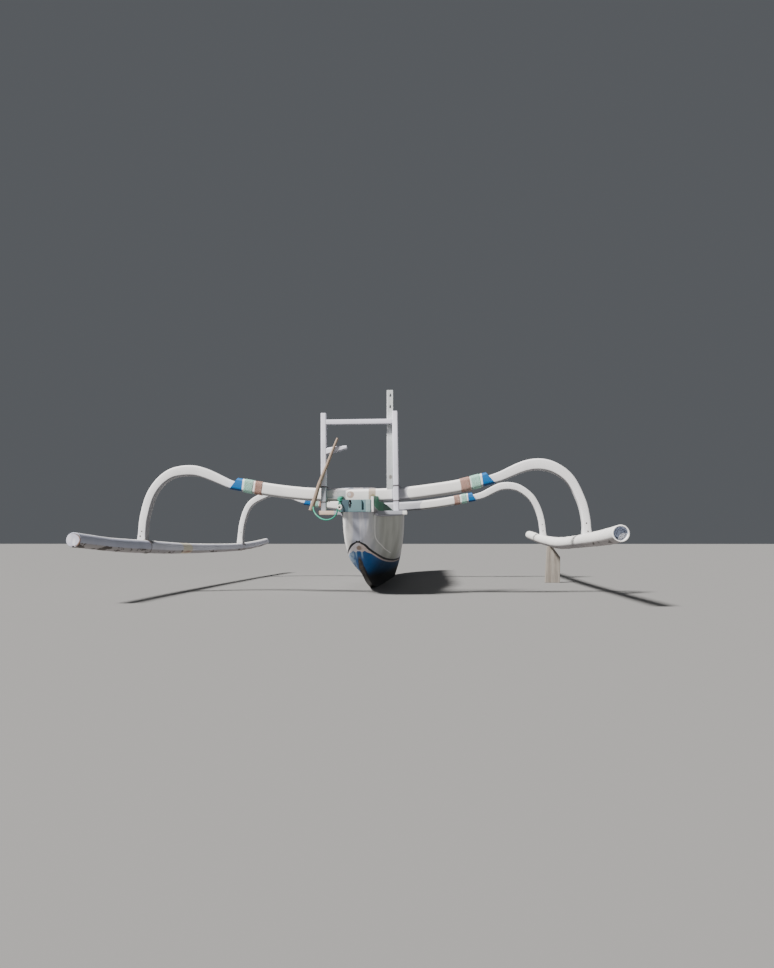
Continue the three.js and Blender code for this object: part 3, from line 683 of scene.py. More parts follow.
class Line:
    """Smooth line through given points, with numbers that change along it."""

    SAMPLES = 12  # samples for each point, where the line is cut into equal lengths

    def __init__(self, points: object, extra: object = None) -> None:
        """Takes the points and, for each, any further numbers.

        Args:
            points: rows of x, y, z in metres.
            extra: rows of numbers, or None.
        """
        self.points = np.array(points, float)
        self.extra = None if extra is None else np.array(extra, float).reshape(len(self.points), -1)

    def at(self, u: float) -> np.ndarray:
        """Point at a share of the line's segments, as a centripetal Catmull-Rom curve."""
        p = self.points
        last = len(p) - 1
        k = min(int(u * last), last - 1)
        w = u * last - k
        before = p[k - 1] if k > 0 else 2 * p[0] - p[1]
        after = p[k + 2] if k + 2 <= last else 2 * p[last] - p[last - 1]
        a, b = p[k], p[k + 1]
        d0, d1, d2 = (max(np.linalg.norm(v), 1e-9) ** 0.5 for v in (a - before, b - a, after - b))
        t1 = ((a - before) / d0 - (b - before) / (d0 + d1) + (b - a) / d1) * d1
        t2 = ((b - a) / d1 - (after - a) / (d1 + d2) + (after - b) / d2) * d1
        c2, c3 = -3 * a + 3 * b - 2 * t1 - t2, 2 * a - 2 * b + t1 + t2
        return a + t1 * w + c2 * w * w + c3 * w ** 3

    def numbers(self, u: float) -> np.ndarray:
        """The further numbers at a share of the line."""
        last = len(self.points) - 1
        return np.array([np.interp(u * last, np.arange(last + 1), col) for col in self.extra.T])

    def trail(self, count: int) -> np.ndarray:
        """Points at equal shares of the line."""
        return np.array([self.at(u) for u in np.linspace(0, 1, count)])

    def shares(self, count: int) -> np.ndarray:
        """Shares that cut the line into equal lengths."""
        taken = self.SAMPLES * len(self.points)
        run = run_length(self.trail(taken))
        return np.interp(np.linspace(0, run[-1], count), run, np.linspace(0, 1, taken))

    def tangent(self, u: float, near: float = 1e-3) -> np.ndarray:
        """Direction of the line at a share of it, between two near shares."""
        t = self.at(min(1, u + near)) - self.at(max(0, u - near))
        return t / np.linalg.norm(t)

    def ring(self, u: float, side: np.ndarray, shape: np.ndarray) -> np.ndarray:
        """Outline set square to the line, with its first axis along a side."""
        normal = np.cross(self.tangent(u), side)
        normal /= np.linalg.norm(normal)
        return self.at(u) + shape[:, :1] * side + shape[:, 1:] * normal


def rounded_box(width: float, height: float, radius: float, arc: int = 5) -> np.ndarray:
    """Outline of a rectangle with round corners, centred, as rows of two numbers."""
    rows = []
    for n, (sx, sy) in enumerate(((1, 1), (-1, 1), (-1, -1), (1, -1))):
        for k in range(arc):
            angle = math.pi / 2 * (n + k / (arc - 1))
            rows.append((sx * (width / 2 - radius) + radius * math.cos(angle),
                         sy * (height / 2 - radius) + radius * math.sin(angle)))
    return np.array(rows)


def circle(radius: float, sides: int) -> np.ndarray:
    """Outline of a circle, as rows of two numbers."""
    angle = np.arange(sides) * math.tau / sides
    return np.stack([radius * np.cos(angle), radius * np.sin(angle)], 1)


@contextmanager
def reshaping(mesh: Mesh) -> Iterator[bmesh.types.BMesh]:
    """Lends a mesh's editable form and writes it back."""
    form = bmesh.new()
    form.from_mesh(mesh)
    yield form
    form.to_mesh(mesh)
    form.free()


def keep_numbers(mesh: Mesh, name: str, values: np.ndarray) -> None:
    """Keeps a number for each point of a mesh as an attribute, in place of an older one."""
    old = mesh.attributes.get(name)
    if old:
        mesh.attributes.remove(old)
    mark = mesh.attributes.new(name, "FLOAT", "POINT")
    mark.data.foreach_set("value", np.ravel(values).astype(np.float32))


class Mesher:
    """Makes finished objects of rings of points or of meshes."""

    ROUNDED = 30  # edges of sawn pieces sharper than this are rounded, in degrees
    SAWN = 50  # and those sharper than this stay sharp in the shading

    @staticmethod
    def object_of(name: str, mesh: Mesh, finishes: list[Finish]) -> Body:
        """Object at the origin with its materials, in the scene."""
        made = bpy.data.objects.new(name, mesh)
        bpy.context.scene.collection.objects.link(made)
        if mesh.materials:
            mesh.materials.clear()
        for finish in finishes:
            mesh.materials.append(material_of(finish))
        return made

    @staticmethod
    def tidy(mesh: Mesh, angle: float = 38) -> None:
        """Smooth shading with sharp edges by angle, and the attributes for wear and for painted shade
        on undersides.

        Args:
            mesh: the mesh, changed in place.
            angle: edges sharper than this stay sharp, in degrees.
        """
        mesh.polygons.foreach_set("use_smooth", [True] * len(mesh.polygons))
        mesh.set_sharp_from_angle(angle=math.radians(angle))
        count = len(mesh.vertices)
        co, normal = np.zeros(count * 3), np.zeros(count * 3)
        mesh.vertices.foreach_get("co", co)
        mesh.vertices.foreach_get("normal", normal)
        co, normal = co.reshape(-1, 3), normal.reshape(-1, 3)
        ends = np.zeros(len(mesh.edges) * 2, int)
        mesh.edges.foreach_get("vertices", ends)
        a, b = ends.reshape(-1, 2).T
        d = co[b] - co[a]
        d /= np.maximum(np.linalg.norm(d, axis=1, keepdims=True), 1e-9)
        bend, near = np.zeros(count), np.zeros(count)
        np.add.at(bend, a, -(d * normal[a]).sum(1))
        np.add.at(bend, b, (d * normal[b]).sum(1))
        np.add.at(near, a, 1)
        np.add.at(near, b, 1)
        keep_numbers(mesh, "edge", np.clip(3 * bend / np.maximum(near, 1), 0, 1))
        # how far each point faces down, which sets the painted shade on undersides
        keep_numbers(mesh, "under", -normal[:, 2])

    @classmethod
    def loft(cls, name: str, rings: np.ndarray, finishes: list[Finish], place: Matrix = HULL_PLACE,
             slots: list[int] | None = None, angle: float = 38,
             **numbers: np.ndarray) -> Body:
        """Closed body through rings of points.

        Args:
            name: the piece's name.
            rings: array of ring, point and coordinate, in metres from the aft boom.
            finishes: the finishes of the material slots.
            place: matrix from the rings' coordinates to the row frame.
            slots: material slot of each strip between a ring's points, or None.
            angle: edges sharper than this stay sharp, in degrees.
            numbers: for each attribute to keep, a number for each point.

        Returns:
            The object.
        """
        turns, count = rings.shape[:2]
        mesh = bpy.data.meshes.new(name)
        n = np.arange(count)
        after = (n + 1) % count
        faces = [
            (k * count + i, k * count + j, (k + 1) * count + j, (k + 1) * count + i)
            for k in range(turns - 1) for i, j in zip(n, after)
        ]
        caps = [tuple(n[::-1]), tuple((turns - 1) * count + n)]
        faces = [tuple(map(int, f)) for f in faces + caps]
        mesh.from_pydata(rings.reshape(-1, 3).tolist(), [], faces)
        run = run_length(rings.mean(1))
        girth = np.linalg.norm(np.diff(np.concatenate([rings, rings[:, :1]], 1), axis=1), axis=2)
        girth = np.concatenate([np.zeros((turns, 1)), np.cumsum(girth, axis=1)], 1)
        layer = mesh.uv_layers.new(name="Path")
        for f, (k, i) in enumerate((k, i) for k in range(turns - 1) for i in range(count)):
            first = mesh.polygons[f].loop_start
            corners = ((k, i), (k, i + 1), (k + 1, i + 1), (k + 1, i))
            for m, (row, column) in enumerate(corners):
                layer.data[first + m].uv = (run[row], girth[row, column])
        for label, values in numbers.items():
            keep_numbers(mesh, label, values)
        if slots is not None:
            mesh.polygons.foreach_set("material_index", list(slots) * (turns - 1) + [0, 0])
        mesh.transform(place)
        with reshaping(mesh) as form:
            bmesh.ops.remove_doubles(form, verts=form.verts, dist=MERGE)
            bmesh.ops.dissolve_degenerate(form, edges=form.edges, dist=MERGE)
            bmesh.ops.recalc_face_normals(form, faces=form.faces)
        made = cls.object_of(name, mesh, finishes)
        cls.tidy(mesh, angle)
        return made

    @classmethod
    def sweep(cls, name: str, line: Line, outline: Callable[[float], np.ndarray], count: int,
              finish: Finish, place: Matrix = RIG, cuts: tuple = ()) -> Body:
        """Outline swept along a line that bends upright, square to ATHWART.

        Args:
            name: the piece's name.
            line: the centre line.
            outline: function from the line's share to an outline.
            count: number of rings.
            finish: the finish.
            place: matrix from the line's coordinates to the row frame.
            cuts: planes that cut parts away, as a point and an outward direction.

        Returns:
            The object.
        """
        side = np.array(ATHWART, float)
        rings = np.array([line.ring(u, side, outline(u)) for u in line.shares(count)])
        made = cls.loft(name, rings, [finish], Matrix.Identity(4))
        if cuts:
            with reshaping(made.data) as form:
                for point, outward in cuts:
                    everything = form.verts[:] + form.edges[:] + form.faces[:]
                    bmesh.ops.bisect_plane(form, geom=everything, plane_co=point,
                                           plane_no=outward, clear_outer=True)
                    rim = [e for e in form.edges if e.is_boundary]
                    bmesh.ops.contextual_create(form, geom=rim)
            cls.tidy(made.data)
        made.data.transform(place)
        return made

    @classmethod
    def refined(cls, node: str, finish: Finish, width: float = 0.0025) -> Body:
        """Copy of a CAD node with rounded edges, which stands for it.

        Args:
            node: the CAD node's name.
            finish: the finish.
            width: width of the rounding, in metres.

        Returns:
            The object.
        """
        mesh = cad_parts[node].data.copy()
        with reshaping(mesh) as form:
            bmesh.ops.remove_doubles(form, verts=form.verts, dist=MERGE)
            bmesh.ops.dissolve_limit(form, angle_limit=math.radians(1), verts=form.verts,
                                     edges=form.edges)
            edges = [e for e in form.edges if e.is_manifold
                     and e.calc_face_angle(0) > math.radians(cls.ROUNDED) and e.is_convex]
            bmesh.ops.bevel(form, geom=edges, offset=width, segments=3, profile=0.6,
                            affect="EDGES", clamp_overlap=True)
            bmesh.ops.triangulate(form, faces=[f for f in form.faces if len(f.verts) > 4])
            bmesh.ops.recalc_face_normals(form, faces=form.faces)
        made = cls.object_of(node + "_piece", mesh, [finish])
        cls.tidy(mesh, cls.SAWN)
        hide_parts(node)
        return made


def hand_in(piece: Body, slot: str, *nodes: str) -> Body:
    """Lets a piece ride on the canoe, hides the nodes it stands for, and logs it."""
    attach(piece, "root")
    if nodes:
        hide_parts(*nodes)
    LOG.info("%s: %d faces", piece.name, len(piece.data.polygons))
    return piece


# ---- Geometry Nodes for cords and nails


class NodeTree:
    """A geometry tree with named inputs, run once on a piece and made a plain mesh."""

    INPUTS: tuple = ()

    def __init__(self, name: str) -> None:
        """Builds the tree.

        Args:
            name: the tree's name.
        """
        self.tree = bpy.data.node_groups.new(name, "GeometryNodeTree")
        face = self.tree.interface
        face.new_socket("Geometry", in_out="INPUT", socket_type="NodeSocketGeometry")
        self.sockets = {}
        for label, kind in (*self.INPUTS, ("Finish", "Material")):
            made = face.new_socket(label, in_out="INPUT", socket_type=f"NodeSocket{kind}")
            self.sockets[label] = made.identifier
        face.new_socket("Geometry", in_out="OUTPUT", socket_type="NodeSocketGeometry")
        self.given = self.tree.nodes.new("NodeGroupInput").outputs
        end = self.tree.nodes.new("NodeGroupOutput")
        real = self.node("GeometryNodeRealizeInstances", Geometry=self.make())
        finished = self.node("GeometryNodeSetMaterial", Geometry=real.outputs[0],
                             Material=self.given["Finish"])
        self.wire(finished.outputs[0], end.inputs[0])

    def make(self) -> Socket:
        """Builds the nodes that shape the piece and returns their last socket."""
        raise NotImplementedError

    def node(self, kind: str, **feeds: object) -> bpy.types.Node:
        """Adds a node; feeds name input sockets, and settings start with an underscore."""
        made = self.tree.nodes.new(kind)
        for key, value in feeds.items():
            if key.startswith("_"):
                setattr(made, key[1:], value)
        for key, value in feeds.items():
            if not key.startswith("_"):
                self.wire(value, made.inputs[key.replace("_", " ")])
        return made

    def wire(self, value: object, socket: Socket) -> None:
        """Links a socket, or sets its value."""
        if isinstance(value, Socket):
            self.tree.links.new(value, socket)
        else:
            socket.default_value = value

    def measured(self, curve: Socket, name: str, measure: str) -> Socket:
        """Curve that keeps one of its own measures as an attribute."""
        value = self.node("GeometryNodeSplineParameter").outputs[measure]
        return self.node("GeometryNodeStoreNamedAttribute", _data_type="FLOAT", Geometry=curve,
                         Name=name, Value=value).outputs[0]

    def tube(self, sides: int, caps: bool) -> Socket:
        """The given edges as a tube that keeps the run along it and the share around it.

        Args:
            sides: number of sides.
            caps: whether open ends are closed.

        Returns:
            The tube.
        """
        curve = self.node("GeometryNodeMeshToCurve", Mesh=self.given["Geometry"]).outputs[0]
        curve = self.measured(curve, "along", "Length")
        ring = self.node("GeometryNodeCurvePrimitiveCircle", Resolution=sides,
                         Radius=self.given["Radius"]).outputs[0]
        ring = self.measured(ring, "around", "Factor")
        return self.node("GeometryNodeCurveToMesh", Curve=curve, Profile_Curve=ring,
                         Fill_Caps=caps).outputs[0]

    def spread(self, points: Socket, piece: Socket, turn: Socket, low: object,
               high: object) -> Socket:
        """One piece on each point, turned, and sized at random between two sizes."""
        size = self.node("FunctionNodeRandomValue", _data_type="FLOAT", Seed=self.given["Seed"])
        self.wire(low, size.inputs[2])
        self.wire(high, size.inputs[3])
        return self.node("GeometryNodeInstanceOnPoints", Points=points, Instance=piece,
                         Rotation=turn, Scale=size.outputs[1]).outputs[0]

    def run(self, name: str, source: Mesh, finish: Finish,
            **values: object) -> Body:
        """Runs the tree on a mesh.

        Args:
            name: the new piece's name.
            source: mesh that the tree starts from, in the row frame.
            finish: the finish that the tree sets.
            values: numbers for the named inputs.

        Returns:
            The piece, as a plain mesh.
        """
        holder = bpy.data.objects.new(name, source)
        bpy.context.scene.collection.objects.link(holder)
        modifier = holder.modifiers.new("Maker", "NODES")
        modifier.node_group = self.tree
        for label, value in {**values, "Finish": material_of(finish)}.items():
            modifier[self.sockets[label]] = value
        graph = bpy.context.evaluated_depsgraph_get()
        mesh = bpy.data.meshes.new_from_object(holder.evaluated_get(graph), depsgraph=graph)
        holder.modifiers.remove(modifier)
        holder.data = mesh
        mesh.polygons.foreach_set("use_smooth", [True] * len(mesh.polygons))
        mesh.name = name
        return holder


class CordTurns(NodeTree):
    """Turns of cord side by side: one closed loop repeated along a line, a little uneven."""

    INPUTS = (("Turns", "Int"), ("Pitch", "Vector"), ("Radius", "Float"), ("Unevenness", "Float"),
              ("Seed", "Int"))
    TILT = 0.012  # how far a turn may lean, in radians

    def make(self) -> Socket:
        """Loop to curve, curve to tube, tube to instances."""
        uneven = self.given["Unevenness"]
        row = self.node("GeometryNodeMeshLine", Count=self.given["Turns"],
                        Offset=self.given["Pitch"]).outputs[0]
        lean = self.node("FunctionNodeRandomValue", _data_type="FLOAT_VECTOR",
                         Seed=self.given["Seed"])
        lean.inputs[0].default_value = (-self.TILT,) * 3
        lean.inputs[1].default_value = (self.TILT,) * 3
        return self.spread(row, self.tube(sides=7, caps=False), lean.outputs[0],
                           self.from_one("SUBTRACT", uneven), self.from_one("ADD", uneven))

    def from_one(self, what: str, value: Socket) -> Socket:
        """1 less a value, or 1 and a value."""
        made = self.node("ShaderNodeMath", _operation=what)
        self.wire(1, made.inputs[0])
        self.wire(value, made.inputs[1])
        return made.outputs[0]


class CordPath(NodeTree):
    """Cord that follows every line of the mesh it is given."""

    INPUTS = (("Radius", "Float"),)

    def make(self) -> Socket:
        """Edges to curves and to tubes."""
        return self.tube(sides=8, caps=True)


class NailHeads(NodeTree):
    """Domed heads on given points, facing along each point's own direction."""

    INPUTS = (("Radius", "Float"), ("Proud", "Float"), ("Seed", "Int"))
    SIZES = (0.85, 1.15)

    def make(self) -> Socket:
        """A squashed ball on each point, turned to face outwards."""
        facing = self.node("GeometryNodeInputNamedAttribute", _data_type="FLOAT_VECTOR",
                           Name="facing")
        turn = self.node("FunctionNodeAlignRotationToVector", _axis="Z", Vector=facing.outputs[0])
        ball = self.node("GeometryNodeMeshUVSphere", Segments=10, Rings=6,
                         Radius=self.given["Radius"]).outputs[0]
        flat = self.node("ShaderNodeCombineXYZ", X=1.0, Y=1.0, Z=self.given["Proud"])
        ball = self.node("GeometryNodeTransform", Geometry=ball, Scale=flat.outputs[0]).outputs[0]
        return self.spread(self.given["Geometry"], ball, turn.outputs[0], *self.SIZES)


CORD_TURNS = CordTurns("cord_turns")
CORD_PATH = CordPath("cord_path")
NAIL_HEADS = NailHeads("nail_heads")


def loop_mesh(name: str, loops: list, closed: bool = True,
              place: Matrix | None = None) -> Mesh:
    """Mesh of edges only, one line for each list of points."""
    verts, edges = [], []
    for loop in loops:
        base = len(verts)
        verts += [tuple(map(float, p)) for p in loop]
        edges += [(base + k, base + k + 1) for k in range(len(loop) - 1)]
        if closed:
            edges.append((base + len(loop) - 1, base))
    mesh = bpy.data.meshes.new(name)
    mesh.from_pydata(verts, edges, [])
    if place is not None:
        mesh.transform(place)
    return mesh


def point_mesh(name: str, points: list, facings: list, place: Matrix) -> Mesh:
    """Mesh of loose points, each with the direction that it faces."""
    mesh = loop_mesh(name, [[p] for p in points], closed=False, place=place)
    mark = mesh.attributes.new("facing", "FLOAT_VECTOR", "POINT")
    mark.data.foreach_set("vector", np.array(facings, float).reshape(-1).astype(np.float32))
    return mesh


# ---- Camera, light and floor


@dataclass(frozen=True)
class Lamp:
    """A soft lamp that shines from its place to the origin."""

    name: str
    place: tuple
    spread: float
    power: float
    colour: tuple

    def build(self) -> None:
        """Makes the lamp."""
        lamp = bpy.data.lights.new(self.name, "SUN")
        lamp.angle, lamp.energy, lamp.color = math.radians(self.spread), self.power, self.colour
        holder = bpy.data.objects.new(self.name, lamp)
        holder.location = self.place
        holder.rotation_euler = (-Vector(self.place)).to_track_quat("-Z", "Y").to_euler()
        bpy.context.scene.collection.objects.link(holder)


@dataclass
class Studio:
    """Camera at the photograph's angle, soft light and a plain pale floor."""

    lens: float = 28.78
    eye: tuple = (0.711, -8.245, 0.42)
    tilt: float = 4.314
    turn: float = 4.498
    lamps: tuple = (
        Lamp("key_light", (-5.0, -3.8, 7.2), 10.0, 10.4, (1.0, 0.975, 0.945)),
        Lamp("fill_light", (6.0, -7.0, 4.0), 60.0, 0.12, (0.9, 0.95, 1.0)),
        Lamp("rear_light", (3.0, 8.0, 6.0), 60.0, 0.15, (1.0, 0.98, 0.95)),
    )
    sky: tuple = (0.30, 0.32, 0.35, 1)
    sky_strength: float = 0.34
    floor: float = 400.0
    floor_colour: tuple = (0.20, 0.198, 0.195)

    def build(self) -> None:
        """Makes the camera, the lamps, the world and the floor."""
        self.camera()
        for lamp in self.lamps:
            lamp.build()
        world = bpy.data.worlds.new("studio")
        world.use_nodes = True
        background = world.node_tree.nodes["Background"]
        background.inputs[0].default_value = self.sky
        background.inputs[1].default_value = self.sky_strength
        bpy.context.scene.world = world
        self.ground()

    def camera(self) -> None:
        """Makes the camera."""
        camera = bpy.data.objects.new("camera", bpy.data.cameras.new("camera"))
        camera.data.lens = self.lens
        camera.location = self.eye
        camera.rotation_euler = (math.radians(90 + self.tilt), 0, math.radians(self.turn))
        bpy.context.scene.collection.objects.link(camera)
        bpy.context.scene.camera = camera

    def ground(self) -> None:
        """Makes the floor."""
        mesh = bpy.data.meshes.new("floor")
        half = self.floor / 2
        corners = [(-half, -half, 0), (half, -half, 0), (half, half, 0), (-half, half, 0)]
        mesh.from_pydata(corners, [], [(0, 1, 2, 3)])
        floor = bpy.data.objects.new("floor", mesh)
        bpy.context.scene.collection.objects.link(floor)
        sheet = Sheet("floor_plain")
        grit = sheet.noise(sheet.place, scale=2.0)
        mesh.materials.append(sheet.finish(self.floor_colour, 0.9, grit, 0.0005, specular=0.1))


# ---- Rope


@dataclass
class HangingRope:
    """The short green rope from the stern block's corner to the leaning pole's foot."""

    diameter: float = 0.011
    lay: float = 0.055  # length of one turn of the strands
    strands: int = 3
    sides: int = 24
    rings: int = 260
    ring_place: tuple = (-0.119, -0.3545, 0.689)
    # each coil of the ring: its radius and how far back it lies
    ring_coils: tuple = ((0.0105, 0.0), (0.0165, 0.001), (0.0135, -0.0045), (0.0135, 0.0055))
    ring_cord: float = 0.0042
    core: tuple = (0.003, 0.0035)
    core_cord: float = 0.0035
    # the turns round the raised board: its ends and faces, and each turn's height and lean
    turn_ends: tuple = (-0.308, -0.262)
    turn_faces: tuple = (-0.1165, -0.134)
    turn_heights: tuple = ((0.742, 0.010), (0.754, 0.004), (0.765, -0.002))
    points: tuple = (
        (-0.127, -0.3084, 0.744), (-0.127, -0.325, 0.743), (-0.127, -0.338, 0.736),
        (-0.129, -0.344, 0.722), (-0.132, -0.344, 0.704), (-0.136, -0.340, 0.684),
        (-0.141, -0.334, 0.664), (-0.148, -0.325, 0.643), (-0.163, -0.314, 0.623),
        (-0.184, -0.301, 0.607), (-0.210, -0.285, 0.598), (-0.237, -0.268, 0.596),
        (-0.264, -0.250, 0.600), (-0.290, -0.232, 0.610), (-0.314, -0.215, 0.626),
        (-0.334, -0.200, 0.645), (-0.348, -0.186, 0.665), (-0.357, -0.170, 0.684),
        (-0.361, -0.152, 0.699), (-0.362, -0.133, 0.701),
    )

    def build(self) -> None:
        """Makes the rope with its strands, the ring on it and its turns round the board."""
        line = Line(self.points)
        shares = line.shares(self.rings)
        path = np.array([line.at(u) for u in shares])
        run = run_length(path)
        side = np.array([1.0, 0.0, 0.0])
        angle = np.arange(self.sides) * math.tau / self.sides
        rings = []
        for u, p, s in zip(shares, path, run):
            t = line.tangent(u)
            side = side - t * side.dot(t)
            side /= np.linalg.norm(side)
            other = np.cross(t, side)
            twist = s / self.lay * math.tau
            swell = np.abs(np.cos(self.strands / 2 * (angle - twist))) ** 0.6
            radius = (self.diameter / 2 * (0.84 + 0.16 * swell))[:, None]
            rings.append(p + radius * (np.cos(angle)[:, None] * side
                                       + np.sin(angle)[:, None] * other))
        rope = Mesher.loft("hanging_rope_piece", np.array(rings), [ROPE], HULL_PLACE, angle=80,
                           along=np.repeat(run, self.sides),
                           around=np.tile(angle / math.tau, self.rings))
        hand_in(rope, "rope", "hanging_rope")
        ring = self.ring()
        self.turns()
        LOG.info("rope length %.3f m", run[-1])

    def ring(self) -> list[Body]:
        """White cord wound into a thick ring on the rope, with black cord in its hole as painted
        shadow.

        Returns:
            The ring and the black cord of painted shadow in its hole.
        """
        middle = np.array(self.ring_place)
        turns = [[middle + (radius * math.cos(a), back, 1.12 * radius * math.sin(a))
                  for a in circle_shares(28)] for radius, back in self.ring_coils]
        mesh = loop_mesh("rope_ring", turns, place=HULL_PLACE)
        ring = CORD_PATH.run("rope_ring", mesh, WHITE_CORD, Radius=self.ring_cord)
        # black cord in the ring's hole: a painted shadow
        across, upright = self.core
        hole = [middle + (across * math.cos(a), 0.002, upright * math.sin(a))
                for a in circle_shares(16)]
        mesh = loop_mesh("rope_ring_core", [hole], place=HULL_PLACE)
        core = CORD_PATH.run("rope_ring_core", mesh, HOLE_SHADOW_CORD, Radius=self.core_cord)
        return [hand_in(piece, "rope") for piece in (ring, core)]

    def turns(self) -> None:
        """Three taut turns of the same rope round the aft end of the port raised board."""
        r = self.diameter / 2
        aft, inner, outer = self.turn_ends[0] - r, self.turn_faces[0] + r, self.turn_faces[1] - r
        loops = []
        for n, (low, lean) in enumerate(self.turn_heights):
            fore = self.turn_ends[1] + 0.004 * n
            corners = np.array([(inner, fore, low - lean), (inner, aft, low),
                                (outer, aft, low + lean), (outer, fore, low)])
            loops.append([a * (1 - share) + b * share
                          for a, b in zip(corners, np.roll(corners, -1, axis=0))
                          for share in (0.06, 0.5, 0.94)])
        mesh = loop_mesh("board_rope_turns", loops, place=HULL_PLACE)
        hand_in(CORD_PATH.run("board_rope_turns", mesh, ROPE, Radius=r), "rope")


# ---- Hull


def table(columns: int, text: str) -> np.ndarray:
    """Table of lengths in metres, written as text in millimetres."""
    return np.array(text.split(), float).reshape(-1, columns) * MM


# the last three columns are shares and not lengths
STATION_COLUMNS = ("keel_y", "keel_z", "sheer_y", "sheer_z", "beam", "keel_half", "low_out",
                   "low_up", "high_up")
HULL_STATIONS = table(9, """
-231 432 -297 655 94 8 0.5 0.04 0.2  -222 416 -284 655 109 10 0.5 0.04 0.2
-120 308 -205 655 123 12 0.47 0.06 0.18  60 210 -20 655 149 15 0.38 0.09 0.16
280 145 220 663 181 18 0.26 0.15 0.16  500 88 460 674 213 21 0.15 0.22 0.17
800 34 780 689 246 26 0.13 0.26 0.18  1100 0 1100 704 265 32 0.18 0.27 0.18
1400 0 1400 718 266 36 0.26 0.26 0.18  1750 0 1750 732 252 38 0.32 0.24 0.18
2100 0 2100 747 230 38 0.35 0.22 0.2  2500 0 2500 768 205 38 0.35 0.2 0.22
2900 0 2900 794 180 38 0.35 0.18 0.24  3300 0 3310 812 154 36 0.35 0.16 0.26
3650 24 3680 832 129 32 0.35 0.14 0.28  3980 78 4040 856 104 28 0.35 0.12 0.3
4300 165 4400 886 78 23 0.35 0.1 0.32  4560 282 4700 916 56 18 0.35 0.08 0.34
4780 430 4940 944 39 14 0.35 0.06 0.36  4940 600 5110 968 27 11 0.35 0.05 0.38
5060 800 5200 985 19 8 0.35 0.04 0.4
""") * ([1] * 6 + [1 / MM] * 3)
# the seam over the log: distance forward, height
SEAM_POINTS = table(2, """
-420 432  -236 428  -216 412  -195 398  -171 384  -136 368  -60 349  40 332  165 315
314 298  477 283  649 271  825 263  1020 258  1300 257  1640 259  2000 269  3000 330
4000 448  4500 545  5000 760  5300 900
""")
# the raised boards' top edge: distance forward, height, distance out
WASHBOARD_LINE = table(3, """
-308 776 137  -200 784 138  -130 789 144  -20 793 155  60 786 164  120 768 171
190 749 181  320 737 198  440 722 213  560 705 227
""")


def steady(values: np.ndarray, at: float) -> np.ndarray:
    """Columns of a table at a row number with a fraction, smooth and without overshoot."""
    last = len(values) - 1
    k = min(int(at), last - 1)
    w = at - k
    slope = np.diff(values, axis=0)

    def bend(n: int) -> np.ndarray:
        """Slope of the curves at a row, level where a column turns back."""
        if n <= 0 or n >= last:
            return slope[min(max(n, 0), last - 1)]
        a, b = slope[n - 1], slope[n]
        return np.where(a * b > 0, 2 * a * b / np.where(a + b == 0, 1, a + b), 0)

    m0, m1 = bend(k), bend(k + 1)
    h = w * w * (3 - 2 * w)
    return (values[k] * (1 - h) + values[k + 1] * h
            + m0 * (w ** 3 - 2 * w * w + w) + m1 * (w ** 3 - w * w))


def station(at: float) -> dict[str, float]:
    """The hull's measures at a station number with a fraction, by their names."""
    return dict(zip(STATION_COLUMNS, steady(HULL_STATIONS, at)))


